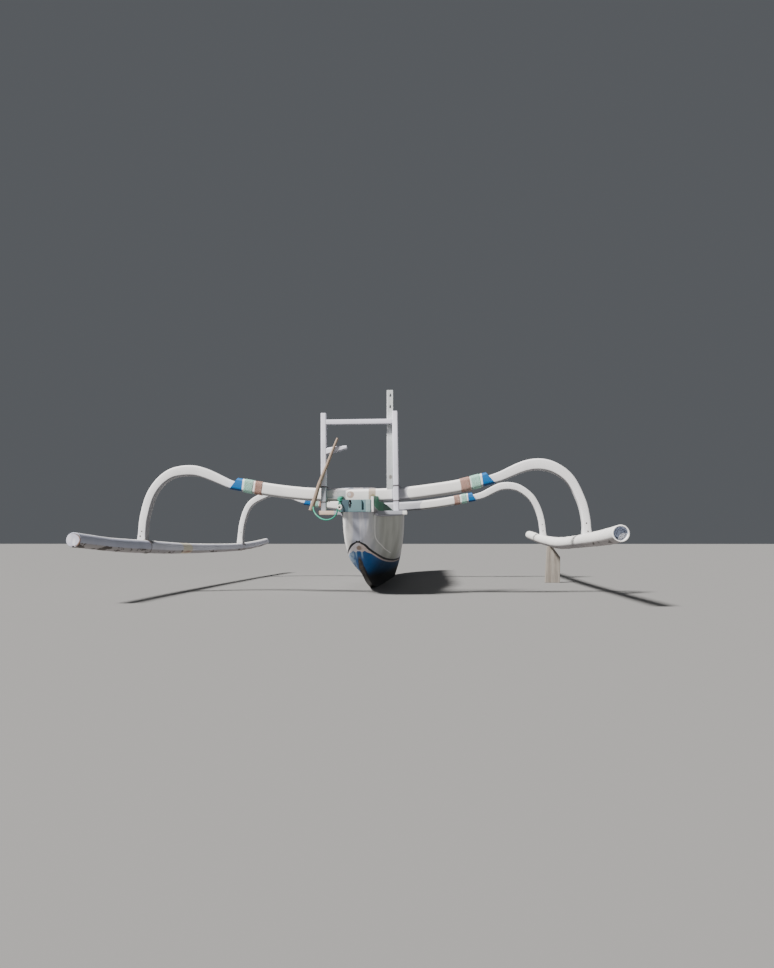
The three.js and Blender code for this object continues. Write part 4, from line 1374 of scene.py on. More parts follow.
@dataclass
class HullForm:
    """Shape of the hull: half sections along the stations and the seam's height."""

    wall: float = 0.032
    bottom: float = 0.046
    axis: float = HULL_AXIS
    high_out: float = 1.02
    keel_inset: float = 0.3
    keel_least: float = 0.004
    hollow: tuple = (2, 17)  # the stations where the hollow starts and ends
    rings_each: int = 6  # rings from one station to the next
    seam_samples: int = 900
    curve_samples: int = 240

    def __post_init__(self) -> None:
        """Samples the seam line once."""
        self.seam = Line([(y, z, 0) for y, z in SEAM_POINTS]).trail(self.seam_samples)

    @property
    def inside(self) -> tuple[float, float]:
        """How far the inner skin lies in from the outer one, at the sheer and at the keel."""
        return self.wall, self.bottom

    def seam_z(self, y: np.ndarray) -> np.ndarray:
        """Height of the seam at a distance forward."""
        return np.interp(y, self.seam[:, 0], self.seam[:, 1])

    def half(self, at: float, shares: np.ndarray, wall: float = 0.0,
             bottom: float = 0.0) -> np.ndarray:
        """Points of the half section at a station number, from the keel up.

        Args:
            at: station number with a fraction.
            shares: shares of the section's curve, from 0 at the keel to 1 at the sheer.
            wall: how far inside the skin, at the sheer.
            bottom: how far above the skin, at the keel.

        Returns:
            Rows of distance out from the centre plane, y and z.
        """
        row = station(at)
        beam = row["beam"] - wall
        keel = max(self.keel_least, row["keel_half"] - wall * self.keel_inset)
        low = row["keel_z"] + bottom
        rise = row["sheer_z"] - low
        handles = np.array([
            (keel, low), (keel + (beam - keel) * row["low_out"], low + rise * row["low_up"]),
            (beam * self.high_out, low + rise * row["high_up"]), (beam, row["sheer_z"]),
        ])
        t = np.asarray(shares)[:, None]
        flat = ((1 - t) ** 3 * handles[0] + 3 * t * (1 - t) ** 2 * handles[1]
                + 3 * t * t * (1 - t) * handles[2] + t ** 3 * handles[3])
        rake = (row["sheer_y"] - row["keel_y"]) / (row["sheer_z"] - row["keel_z"])
        y = row["keel_y"] + (flat[:, 1] - row["keel_z"]) * rake
        return np.stack([flat[:, 0], y, flat[:, 1]], 1)

    def crossing(self, at: float, wall: float = 0.0, bottom: float = 0.0) -> float:
        """Share of the section's curve where it crosses the seam.

        Args:
            at: station number with a fraction.
            wall: how far inside the skin, at the sheer.
            bottom: how far above the skin, at the keel.

        Returns:
            The share, 0 where the whole section lies above the seam.
        """
        t = np.linspace(0, 1, self.curve_samples)
        p = self.half(at, t, wall, bottom)
        under = np.nonzero(p[:, 2] < self.seam_z(p[:, 1]))[0]
        if len(under) == 0:
            return 0.0
        k = min(under[-1], self.curve_samples - 2)
        a, b = (p[k:k + 2, 2] - self.seam_z(p[k:k + 2, 1]))
        return float(t[k] + (t[k + 1] - t[k]) * min(1, max(0, -a / (b - a if b != a else 1))))

    def rows(self) -> list[tuple[float, bool]]:
        """Station numbers of the rings, with the hollow's ends doubled.

        Returns:
            Pairs of station number and whether the hull is hollow there.
        """
        last = len(HULL_STATIONS) - 1
        start, end = self.hollow
        found = []
        for at in np.linspace(0, last, last * self.rings_each + 1):
            if math.isclose(at, start):
                found += [(at, False), (at, True)]
            elif math.isclose(at, end):
                found += [(at, True), (at, False)]
            else:
                found.append((at, start < at < end))
        return found


@dataclass
class Hull:
    """Dugout log, side planks, rails, raised boards, stern block, seats and floor."""

    form: HullForm
    plank_points: int = 20
    log_points: int = 18
    chine: float = 30  # edges of log and planks sharper than this stay sharp, in degrees
    plank_core: float = 0.0002  # thickness of a plank's half where the hull is solid
    inner_rise: float = 0.2  # stands on inner faces for the height over the seam
    corner: float = 0.004
    rail_size: tuple = (0.014, 0.022)
    rail_drop: float = 0.002
    rail_gap: float = 0.0006
    rail_rings: tuple = (2, 18, 97)
    board_thickness: float = 0.02
    board_gap: float = 0.0003
    board_rings: int = 48
    board_green: tuple = (0.018, 0.215, 0.11)
    board_ends: dict = given({
        PORT: (0.10, 0.42, 0.30), STARBOARD: WHITE})
    board_slopes: dict = given({PORT: -1.0, STARBOARD: 0.155})
    crease_radius: float = 0.0055
    crease_points: tuple = (
        (0.1380, -2.182, 0.637), (0.1327, -2.142, 0.5965), (0.1306, -2.127, 0.5415),
        (0.1289, -2.082, 0.4754), (0.1379, -1.986, 0.4335), (0.1555, -1.813, 0.3982),
        (0.1639, -1.723, 0.3812), (0.1726, -1.612, 0.3617), (0.1854, -1.444, 0.3419),
        (0.1935, -1.316, 0.3271),
    )
    nail_radius: float = 0.0032
    nail_rows: tuple = (2.6, 17.6, 46)
    nail_place: tuple = (0.0148, -0.013)  # out from the sheer, and up

    def skin(self, name: str, slot: str, rings: list, rises: list, slots: list) -> None:
        """Closes a part of the hull, painted outside and worn inside, and attaches it to the canoe.

        Args:
            name: the CAD node's name.
            slot: name of its material slot, passed on but not used.
            rings: its rings, with x out from the hull's axis.
            rises: for each point, the height over the seam along the girth.
            slots: finish of each strip between a ring's points.
        """
        rings = np.array(rings)
        rings[:, :, 0] += self.form.axis
        piece = Mesher.loft(name + "_piece", rings, [HULL_PAINT, INSIDE], slots=slots,
                            angle=self.chine, rise=np.array(rises))
        hand_in(piece, slot, name)

    def planks(self, side: Side) -> None:
        """Side plank from the seam up to the sheer, with its inner face.

        Args:
            side: which side of the canoe.
        """
        form, count = self.form, self.plank_points
        rings, rises = [], []
        for at, hollow in form.rows():
            outer = form.half(at, np.linspace(form.crossing(at), 1, count))
            if hollow:
                shares = np.linspace(1, form.crossing(at, *form.inside), count)
                inner = form.half(at, shares, *form.inside)
            else:
                inner = outer[::-1].copy()
                inner[:, 0] = self.plank_core
            rings.append(np.concatenate([outer, inner]) * (side.value, 1, 1))
            rises.append(np.concatenate([run_length(outer), np.full(count, self.inner_rise)]))
        slots = [0] * (count - 1) + [1] * (count + 1)
        self.skin(f"hull_plank_{side.word}", "white_paint", rings, rises, slots)

    def log(self) -> None:
        """Lower hull from the keel up to the seam."""
        form, count = self.form, self.log_points
        rings, rises = [], []
        for at, hollow in form.rows():
            outer = form.half(at, np.linspace(0, form.crossing(at), count))
            if hollow:
                shares = np.linspace(form.crossing(at, *form.inside), 0, count)
                inner = form.half(at, shares, *form.inside)
            else:
                inner = np.repeat(outer[-1:], count, 0)
                inner[:, 0] = np.linspace(outer[-1, 0], 0, count + 1)[1:]
            half = np.concatenate([outer, inner])
            rise = run_length(outer)
            rise = np.concatenate([rise - rise[-1], np.full(count, -self.inner_rise)])
            rings.append(np.concatenate([half, half[::-1] * (-1, 1, 1)]))
            rises.append(np.concatenate([rise, rise[::-1]]))
        slots = [0] * (count - 1) + [1] * (2 * count + 1) + [0] * count
        self.skin("hull_log", "hull_blue_paint", rings, rises, slots)

    def rails(self, side: Side) -> None:
        """Gunwale rail along the outside of a plank's top edge.

        Args:
            side: which side of the canoe.
        """
        width, depth = self.rail_size
        middle = (self.rail_gap + width / 2, -self.rail_drop - depth / 2)
        shape = rounded_box(width, depth, self.corner, 4) + middle
        rings = []
        for at in np.linspace(*self.rail_rings):
            row = station(at)
            x = self.form.axis + side.value * (row["beam"] + shape[:, 0])
            y = np.full(len(shape), row["sheer_y"])
            rings.append(np.stack([x, y, row["sheer_z"] + shape[:, 1]], 1))
        name = f"gunwale_rail_{side.word}"
        hand_in(Mesher.loft(name + "_piece", np.array(rings), [WORN_Y]), "worn_paint", name)

    def washboard(self, side: Side) -> None:
        """Raised board on the stern part of the sheer.

        Args:
            side: which side of the canoe.
        """
        thickness = self.board_thickness
        line = Line([(x, y, z) for y, z, x in WASHBOARD_LINE])
        sheer_y, sheer_z = HULL_STATIONS[:, 2], HULL_STATIONS[:, 3]
        rings = []
        for u in line.shares(self.board_rings):
            outer, y, top = line.at(u)
            low = np.interp(y, sheer_y, sheer_z) + self.board_gap
            middle = (outer - thickness / 2, (top + low) / 2)
            shape = rounded_box(thickness, top - low, self.corner, 5) + middle
            x = side.value * shape[:, 0]
            rings.append(np.stack([x, np.full(len(shape), y), shape[:, 1]], 1))
        name = f"stern_washboard_{side.word}"
        aft = WASHBOARD_LINE[0][0] - ORIGIN_Y
        end = Tint(aft - 0.01, aft + 0.004, self.board_ends[side])
        paint = BoardGreen(f"green_paint_{side.word}", self.board_green, Grain.Y, wear=0.3,
                           grime=0.15, grime_colour=(0.16, 0.17, 0.14), tints=(end,),
                           slope=self.board_slopes[side])
        hand_in(Mesher.loft(name + "_piece", np.array(rings), [paint]), "green_paint", name)

    def fittings(self) -> None:
        """Stern block, foot board, seats, floor boards and mast step."""
        mint = PaintedWood(
            "mint_paint", (0.125, 0.215, 0.235), Grain.X, wear=0.5, grime=0.6,
            grime_colour=(0.09, 0.12, 0.12),
            tints=(Tint(-0.13, -0.058, (0.055, 0.1, 0.125)), Tint(0.078, 0.13, (0.27, 0.38, 0.38))),
            spots=(Spot((-0.046, -2.29, 0.722), (0.012, 0.05, 0.037), (0.012, 0.017, 0.022)),
                   Spot((-0.047, -2.29, 0.724), (0.004, 0.05, 0.007), (0.28, 0.34, 0.36), 0.4)),
        )
        foot = PaintedWood(
            "foot_board_paint", (0.36, 0.37, 0.41), Grain.X, wear=0.5, grime=0.5,
            tints=(Tint(-0.34, -0.315, (0.30, 0.18, 0.12)), Tint(-0.315, -0.2, (0.62, 0.47, 0.38)),
                   Tint(0.352, 0.42, WHITE)),
        )
        hand_in(Mesher.refined("stern_block", mint), "mint_paint")
        hand_in(Mesher.refined("frame_foot_board", foot), "worn_paint")
        for node in ("thwart_aft", "thwart_middle", "thwart_mast"):
            hand_in(Mesher.refined(node, WORN_X), "worn_paint")
        for node in ("floor_board_port", "floor_board_starboard", "mast_step"):
            hand_in(Mesher.refined(node, BARE), "bare_wood")

    def crease(self) -> None:
        """The raised seam that curves down the starboard quarter, near white as a painted highlight.
        """
        path = Line(self.crease_points).trail(60)
        mesh = loop_mesh("quarter_seam", [path], closed=False)
        seam = CORD_PATH.run("quarter_seam", mesh, SEAM_PUTTY_HIGHLIGHT, Radius=self.crease_radius)
        hand_in(seam, "white_paint")

    def nails(self) -> None:
        """Nail heads along both rails."""
        out, up = self.nail_place
        points, facings = [], []
        for side in Side:
            for at in np.linspace(*self.nail_rows):
                row = station(at)
                x = self.form.axis + side.value * (row["beam"] + out)
                points.append((x, row["sheer_y"], row["sheer_z"] + up))
                facings.append((side.value, 0, 0))
        mesh = point_mesh("rail_nails", points, facings, HULL_PLACE)
        nails = NAIL_HEADS.run("rail_nails", mesh, DARK_METAL, Radius=self.nail_radius, Proud=0.4,
                               Seed=11)
        hand_in(nails, "worn_paint")

    def build(self) -> None:
        """Makes every piece of the hull."""
        self.log()
        for side in Side:
            self.planks(side)
            self.rails(side)
            self.washboard(side)
        self.fittings()
        self.crease()
        self.nails()


# ---- Stern frame


@dataclass
class SternFrame:
    """Posts, tall board, crossbar, peg, the leaning pole and their lashings."""

    post_x: dict = given({PORT: -0.300, STARBOARD: 0.2885})
    post_width: float = 0.043
    post_top: float = 1.42
    # how far to starboard each post stands at its top, and how much further for each metre down
    leans: dict = given({
        PORT: (0.0056, 0.0089), STARBOARD: (0.0, 0.0144)})
    aft_face: float = -0.092
    boom_z: float = 0.811
    boom_half: tuple = (0.0475, 0.0525)
    board_rounding: float = 0.003
    pole_foot: tuple = (-0.388, -0.1113, 0.676)
    pole_top: tuple = (-0.175, -0.1013, 1.262)
    # the pole's crook: how far to starboard, and at which share of its length
    pole_bends: tuple = ((0, 0), (-0.003, 0.15), (-0.010, 0.34), (-0.010, 0.46), (-0.005, 0.64),
                         (-0.004, 0.83), (0, 1))
    pole_radius: tuple = (0.0188, 0.0098)  # at the foot, and how much less at the top
    pole_knots: tuple = ((0.0012, 0.37, 0.018), (0.001, 0.71, 0.014))  # height, share, width
    cord: float = 0.0015
    cord_pitch: float = 2.1  # from one turn to the next, in radii of the cord
    cord_turns: int = 3
    slack: float = 0.004  # how far beyond the boom the crossing turns lie
    fore_room: dict = given({PORT: 0.0, STARBOARD: 0.020})

    def boards(self) -> None:
        """Rounded copies of the frame's sawn pieces."""
        upright = PaintedWood("frame_paint_upright", FRAME_WHITE, Grain.Z, wear=0.4, grime=0.35)
        across = PaintedWood("frame_paint_across", FRAME_WHITE, Grain.X)
        low_port = PaintedWood("port_post_paint", FRAME_WHITE, Grain.Z, wear=0.45, grime=0.5,
                               tints=(Tint(0.66, 0.868, (0.40, 0.42, 0.47)),), measure=Grain.Z)
        spots = (
            Spot((0.251, -2.022, 0.948), (0.013, 0.02, 0.017), (0.25, 0.24, 0.22), 0.5, 0.3),
            # a painted highlight down the board's left edge
            Spot((0.222, -2.022, 1.30), (0.005, 0.02, 0.36), (0.68, 0.70, 0.71), 0.8),
            Spot((0.248, -2.022, 1.520), (0.008, 0.02, 0.011), (0.04, 0.04, 0.045), 0.5, 0.3),
        )
        board = PaintedWood("tall_board_paint", (0.54, 0.57, 0.57), Grain.Z, wear=0.4, grime=0.5,
                            spots=spots)
        for node, finish, side in (
            ("frame_post_port", low_port, PORT), ("frame_post_starboard", upright, STARBOARD),
            ("frame_tall_board", board, None), ("frame_crossbar", across, None),
            ("frame_peg", across, None),
        ):
            piece = Mesher.refined(node, finish, self.board_rounding)
            if side:
                places = np.array([v.co for v in piece.data.vertices])
                places[:, 0] += self.drift(side, places[:, 2])
                piece.data.vertices.foreach_set("co", places.ravel())
            hand_in(piece, "white_paint")

    def drift(self, side: Side, z: float) -> float:
        """How far a post's grown lean takes it to starboard at a height."""
        at_top, slope = self.leans[side]
        return at_top + slope * (self.post_top - z)

    def pole(self) -> None:
        """The bare stick that leans on the port post, with a slight crook."""
        foot, top = np.array(self.pole_foot), np.array(self.pole_top)
        line = Line([foot + (top - foot) * share + (off, 0, 0) for off, share in self.pole_bends])

        def outline(u: float) -> np.ndarray:
            """Round section with its knots."""
            knots = sum(height * math.exp(-((u - share) / width) ** 2)
                        for height, share, width in self.pole_knots)
            return circle(self.pole_radius[0] - self.pole_radius[1] * u + knots, 20)

        stick = Mesher.sweep("leaning_pole_piece", line, outline, 70, STICK, HULL_PLACE)
        hand_in(stick, "bare_wood", "leaning_pole")

    def lashings(self) -> None:
        """Square lashings that tie the two posts to the aft boom."""
        r, loops = self.cord, []
        inner, aft = self.post_width / 2 + r, self.aft_face - r
        for side in Side:
            post = self.post_x[side]
            fore = self.boom_half[0] + r + self.fore_room[side]
            middle = self.boom_z + post * math.sin(RIG_LEAN)
            top, base = middle + self.boom_half[1] + r, middle - self.boom_half[1] - r
            for n in range(self.cord_turns):
                layer = self.cord_pitch * r * n
                out = self.post_width / 2 + r + layer
                high, low = top + self.slack + layer, base - self.slack - layer
                starboard = [(inner, aft, high), (inner + 0.002, aft + 0.03, high - 0.002),
                             (out, fore, top), (out, fore, base),
                             (inner + 0.002, aft + 0.03, low + 0.002), (inner, aft, low)]
                port = [(-x, y, z) for x, y, z in reversed(starboard)]
                rows = port[-1:] + starboard + port[:-1]
                loops.append([(post + self.drift(side, z) + x, y, z) for x, y, z in rows])
        mesh = loop_mesh("post_lashings", loops, place=HULL_PLACE)
        cord = CORD_PATH.run("post_lashings", mesh, DARK_CORD, Radius=self.cord)
        hand_in(cord, "rope")

    def build(self) -> None:
        """Makes every piece of the frame."""
        self.boards()
        self.pole()
        self.lashings()


# ---- Outriggers

# each arm's line: distance out, height, thickness
ARCH_LINES = {
    "aft_port": table(3, """
        790 866 62  950 884 68  1086 917 76  1165 952 82  1234 984 88  1303 1013 91  1370 1033 92
        1440 1040 92  1511 1036 91  1583 1020 89  1643 987 87  1690 947 85  1733 894 84  1767 834 85
        1792 765 86  1810 695 86  1824 625 84  1831 548 84  1835 480 84  1837 415 83"""),
    "aft_starboard": table(3, """
        790 865 60  950 886 66  1071 914 76  1148 938 82  1219 968 88  1285 996 91  1349 1016 94
        1414 1026 95  1477 1024 96  1541 1008 94  1598 980 90  1653 940 86  1696 893 81  1732 832 77
        1760 767 75  1784 700 74  1799 633 73  1808 565 73  1811 490 74  1812 415 75"""),
    "fore_port": table(3, """
        760 896 58  905 918 60  1042 941 68  1117 971 76  1193 1005 82  1264 1029 86  1333 1041 88
        1399 1044 88  1464 1029 88  1529 1003 84  1582 977 80  1634 948 79  1682 907 79  1719 852 78
        1748 785 78  1769 716 77  1786 642 77  1795 569 77  1802 500 77  1804 410 77"""),
    "fore_starboard": table(3, """
        760 896 64  905 919 68  1041 941 76  1124 962 82  1200 998 86  1267 1031 88  1330 1057 90
        1404 1067 90  1471 1062 90  1540 1043 88  1596 1012 86  1653 968 84  1705 912 82
        1742 850 79  1772 783 76  1794 711 75  1809 637 74  1817 562 74  1822 486 74  1824 410 74"""),
}
# each half boom's axis: distance out, height
BOOM_LINES = {
    "aft_port": table(2, """
        0 812  350 815  600 840  800 872  1000 911  1090 929"""),
    "aft_starboard": table(2, """
        0 798  350 808  600 833  800 861  1000 908  1090 928"""),
    "fore_port": table(2, """
        0 836  350 848  600 872  800 902  950 928  1050 944"""),
    "fore_starboard": table(2, """
        0 839  350 851  600 875  800 905  950 931  1050 947"""),
}
# each float's axis: distance forward, height over its lowest place, radius
FLOAT_LINES = {
    PORT: table(3, """
        -1246 54 52  -1000 40 51  -700 23 51  -400 12 54  0 2 55  400 -9 54  800 -17 51
        1300 -22 49  1900 -23 47  2400 -22 46  2800 -18 46  3173 -8 46  3500 4 46  3800 19 45
        4050 35 44  4282 52 42"""),
    STARBOARD: table(3, """
        -1246 39 57  -900 23 58  -560 12 57  -300 5 56  0 -2 55  300 -9 55  560 -14 55
        820 -19 56  1120 -24 57  1450 -25 58  1800 -20 57  2200 -9 55  2619 4 54  2948 16 54
        3300 32 55  3618 48 55  3950 65 55  4282 82 54"""),
}
BOOM_SPOTS = {
    "aft_starboard": (
        Spot((-0.076, -2.025, 0.807), (0.030, 0.06, 0.028), (0.44, 0.33, 0.28), 0.3),
        Spot((-0.086, -2.025, 0.808), (0.014, 0.06, 0.016), (0.54, 0.50, 0.52), 0.5),
        Spot((0.101, -2.025, 0.806), (0.029, 0.3, 0.30), (0.46, 0.38, 0.31), 0.1, 0.03),
        Spot((0.108, -2.025, 0.790), (0.020, 0.06, 0.020), (0.27, 0.23, 0.14), 0.6, 0.3),
    ),
    "aft_port": (
        Spot((-0.150, -2.025, 0.800), (0.042, 0.3, 0.06), (0.33, 0.36, 0.37), 0.8, 0.35, 0.75),
    ),
}
FLOAT_TINTS = {
    PORT: (Tint(-1.177, -0.917, (0.60, 0.56, 0.44)),),
    STARBOARD: (Tint(-1.694, -1.686, (0.10, 0.095, 0.095)), Tint(1.10, 1.112, (0.2, 0.19, 0.19))),
}
FLOAT_SPOTS = {
    PORT: (
        Spot((-1.7943, -3.223, 0.4364), (0.055, 0.004, 0.055), (0.17, 0.105, 0.075), 0.2, 0.05),
        Spot((-1.8040, -3.223, 0.4374), (0.0500, 0.004, 0.0500), (0.53, 0.53, 0.63), 0.35, 0.06),
        Spot((-1.8255, -3.223, 0.4504), (0.016, 0.004, 0.030), (0.70, 0.69, 0.76), 0.9, 0.6),
        Spot((-1.7905, -3.223, 0.4204), (0.010, 0.004, 0.026), (0.72, 0.71, 0.78), 0.9, 0.5),
        Spot((-1.7925, -3.223, 0.389), (0.008, 0.012, 0.010), (0.03, 0.025, 0.03), 0.3),
        # the next two, round the port arms' feet: painted shadow where each foot sits on the float
        Spot((-1.800, -1.932, 0.432), (0.064, 0.059, 0.040), (0.06, 0.06, 0.07), 0.35, 0.15),
        Spot((-1.785, 1.042, 0.410), (0.056, 0.057, 0.036), (0.10, 0.10, 0.11), 0.3, 0.15),
        Spot((-1.79, -1.05, 0.335), (0.05, 0.16, 0.014), (0.34, 0.20, 0.15), 1.2, 0.3),
    ),
    STARBOARD: (
        Spot((1.862, -1.94, 0.478), (0.022, 0.040, 0.020), (0.34, 0.35, 0.38), 0.8, 0.3),
        # the next two, round the arms' feet: painted shadow where each foot sits on the float
        Spot((1.820, -1.938, 0.490), (0.043, 0.0465, 0.03), (0.20, 0.20, 0.22), 0.1),
        Spot((1.830, 1.039, 0.510), (0.042, 0.047, 0.03), (0.25, 0.25, 0.26), 0.1),
    ),
}


@dataclass
class Outriggers:
    """Two booms, four bent arms, two floats, their lashings and pegs."""

    booms: dict = given({"aft": 0.0, "fore": BOOM_SPACING})
    boom_size: tuple = (0.095, 0.105, 0.024)  # width, height, radius of the corners
    inner_end: float = 0.15
    beyond: float = 0.02  # how far a boom runs on before its slanted end is cut
    scarf: tuple = (-0.12, 0.28)  # where the two halves' joint starts, and its slope
    # the slanted end: how far in from the boom's end at its underside and at its top
    slants: dict = given({
        "aft_port": (0.014, 0.094), "aft_starboard": (-0.004, 0.085),
        "fore_port": (0.036, 0.087), "fore_starboard": (0.006, 0.058)})
    # distances out: brown from and to, mint from and to, blue from
    bands: dict = given({
        "aft_port": (0.806, 0.866, 0.884, 0.956, 0.970),
        "aft_starboard": (0.818, 0.893, 0.902, 0.974, 0.988),
        "fore_port": (0.755, 0.825, 0.835, 0.908, 0.925),
        "fore_starboard": (0.789, 0.857, 0.876, 0.935, 0.951)})
    band_middle: float = 0.9  # distance out where the bands are measured square to the boom
    paint_middle: dict = given({"aft": 0.822, "fore": 0.845})
    clear: dict = given({
        "aft_starboard": (0.038, 0.412), "aft_port": (0.425, 0.65)})
    inner: dict = given({"aft_port": 0.425})
    binding_cord: float = 0.002
    binding_pitch: float = 1.9  # from one turn to the next, in radii of the cord
    arm_depth: float = 0.078
    arm_plane: float = 0.039
    arm_corner: float = 0.17  # radius of the corners, as a share of the thickness
    # what the legs' sharper corners take off their thickness
    planed: dict = given({
        "aft_port": 0.0134, "aft_starboard": 0.0066, "fore_port": 0.0098,
        "fore_starboard": 0.0046})
    planed_top: float = 0.003
    foot_level: float = 0.462
    foot_flare: tuple = (0.012, 0.05)  # how much thicker a foot is, and how high that reaches
    arm_hollow: tuple = (-1.43, 0.62)  # the port arms' inner faces, those turned to this place, get painted shade
    float_height: float = 0.41
    float_sides: int = 40
    float_rings: int = 230
    joint: tuple = (0.0016, 0.012, 0.0012)  # height, half width, and what is taken off between
    rim: float = 0.011
    rim_round: float = 0.003
    recess: float = 0.07
    joints: dict = given({
        PORT: np.array(
            [-0.95, -0.58, -0.2, 0.21, 0.62, 1.0, 1.43, 1.86, 2.28, 2.7, 3.1, 3.5, 3.9]),
        STARBOARD: np.array(
            [-0.86, -0.42, 0.02, 0.45, 0.9, 1.34, 1.78, 2.2, 2.62, 3.0, 3.3, 3.72, 4.05])})
    bark: float = 0.0016
    bark_lean: float = 0.006
    bark_places: dict = given({"aft": 0.0, "fore": -0.005})
    peg_radius: float = 0.0062
    peg_places: tuple = (
        ("aft", -1.834, 0.540), ("aft", -1.846, 0.500), ("aft", 1.806, 0.545),
        ("aft", 1.815, 0.480), ("fore", 1.819, 0.528), ("fore", -1.790, 0.570),
        ("fore", 1.812, 0.600))

    def boom(self, word: str, side: Side) -> None:
        """One half of a boom, with its slanting ends and its paint.

        Args:
            word: aft or fore.
            side: which side of the canoe.
        """
        sign, y, name = side.value, self.booms[word], f"{word}_{side.word}"
        lengths = BOOM_LINES[name]
        x, z = lengths[-1]
        climb = (z - lengths[-2, 1]) / (x - lengths[-2, 0])
        line = Line([
            (-sign * self.inner_end, y, lengths[0, 1]), *((sign * x, y, z) for x, z in lengths),
            (sign * (x + self.beyond), y, z + self.beyond * climb),
        ])
        width, height, radius = self.boom_size
        shape = rounded_box(width, height, radius, 7)
        low, high = self.slants[name]
        slant = ((sign * (x - low), y, z - height / 2), (sign * height, 0, high - low))
        start, slope = self.scarf
        scarf = ((start, y - width / 2, z), (-sign * width, sign * slope, 0))
        trail = line.trail(600)
        run, out = run_length(trail), sign * trail[:, 0]
        brown, brown_end, mint, mint_end, blue = np.interp(self.bands[name], out, run)
        paint = BoomPaint(
            f"boom_{name}_paint", WHITE, Grain.X, wear=0.2, grime=0.3,
            tints=(Tint(brown, brown_end, BROWN), Tint(mint, mint_end, MINT),
                   Tint(blue, 2.0, BLUE)),
            clear=self.clear.get(name, (0.0, 0.0)), inner=self.inner.get(name, 0.0),
            offset=float(np.interp(self.band_middle, out, run)) - self.band_middle,
            middle=self.paint_middle[word], spots=BOOM_SPOTS.get(name, ()),
        )
        made = Mesher.sweep(f"boom_{name}_piece", line, lambda u: shape, 70, paint,
                            cuts=(slant, scarf))
        hand_in(made, "white_paint", f"boom_{name}")

    def arm(self, word: str, side: Side) -> None:
        """One bent arm, from inside the boom's end down to the float.

        Args:
            word: aft or fore.
            side: which side of the canoe.
        """
        name = f"{word}_{side.word}"
        lengths = ARCH_LINES[name]
        y = self.booms[word] + self.arm_plane
        line = Line([(side.value * x, y, z) for x, z, _ in lengths], lengths[:, 2])
        flare, reach = self.foot_flare

        def outline(u: float) -> np.ndarray:
            """Squared section, thicker towards the foot."""
            upright = abs(line.tangent(u)[2])
            thick = (line.numbers(u)[0] - self.planed[name] * upright
                     - self.planed_top * (1 - upright))
            above = line.at(u)[2] - self.foot_level
            thick += flare * max(0.0, 1 - above / reach) if above > 0 else flare
            return rounded_box(self.arm_depth, thick, self.arm_corner * thick, 5)

        made = Mesher.sweep(f"arch_{name}_piece", line, outline, 150, ARM_PAINT)
        # the port arms' inner faces are marked as if facing down, so they get painted shade
        if side is PORT:
            x, z = self.arm_hollow
            mark = made.data.attributes["under"]
            for vertex, value in zip(made.data.vertices, mark.data):
                inward = Vector((x - vertex.co[0], 0, z - vertex.co[2])).normalized()
                value.value = 0.2 + vertex.normal.dot(inward)
        hand_in(made, "white_paint", f"arch_{name}")

    def float_pole(self, side: Side) -> None:
        """One bamboo float, with its joints and its aft end, open or closed.

        Args:
            side: which side of the canoe.
        """
        line, across = self.float_line(side), np.array([1, 0, 0])
        swell, width, less = self.joint
        rings = []
        for u in line.shares(self.float_rings):
            near = np.abs(self.joints[side] - line.at(u)[1]).min()
            radius = line.numbers(u)[0] + (swell * math.exp(-(near / width) ** 2) - less)
            rings.append(line.ring(u, across, circle(radius, self.float_sides)))
        aft, t = line.at(0), line.tangent(0)
        edge = rings[0] - aft
        radius = np.linalg.norm(edge[0])
        rings[0] = aft + edge + self.rim_round * t
        bore = line.numbers(0)[0] - self.rim
        # the end face, from its rim inwards: share of the radius, and how far in it lies
        ends = [(1 - self.rim_round / radius, 0)]
        if side is PORT:
            ends += [(0.55, 0), (0.2, 0)]
        else:
            inner = bore / radius
            ends += [(inner + 0.002 / radius, 0), (inner, 0.0025),
                     (inner - 0.02, 0.6 * self.recess), (inner - 0.1, self.recess)]
        rings = [aft + edge * share + depth * t for share, depth in reversed(ends)] + rings
        name = f"float_{side.word}"
        paints = [self.float_paint(side), CUP_SHADE_AND_HIGHLIGHT]
        made = Mesher.loft(name + "_piece", np.array(rings), paints, RIG)
        # faces inside the open end take the cup's painted shade and highlight
        if side is STARBOARD:
            mouth, inward = RIG @ Vector(aft), RIG.to_3x3() @ Vector(t)
            for face in made.data.polygons:
                offset = face.center - mouth
                depth = offset.dot(inward)
                if depth < self.recess + 0.01 and (offset - depth * inward).length < bore:
                    face.material_index = 1
        hand_in(made, "white_paint", name)

    def float_line(self, side: Side) -> Line:
        """A float's axis, with its radius."""
        lengths = FLOAT_LINES[side]
        x = side.value * HALF_SPAN
        return Line([(x, y, self.float_height + lift) for y, lift, _ in lengths], lengths[:, 2])

    @staticmethod
    def float_paint(side: Side) -> FloatPaint:
        """Paint of a float, with painted shade on the port one's flanks."""
        port_shade_and_scuffs = {"flank": (0.42, 0.44, 0.54), "fore_flank": (0.56, 0.57, 0.65), "scuffs": 0.53}
        return FloatPaint(f"float_{side.word}_paint", WHITE, Grain.Y, wear=0.1, grime=0.25,
                          tints=FLOAT_TINTS[side], spots=FLOAT_SPOTS[side], underside=0.0,
                          edge_wear=0.0, **(port_shade_and_scuffs if side is PORT else {}))

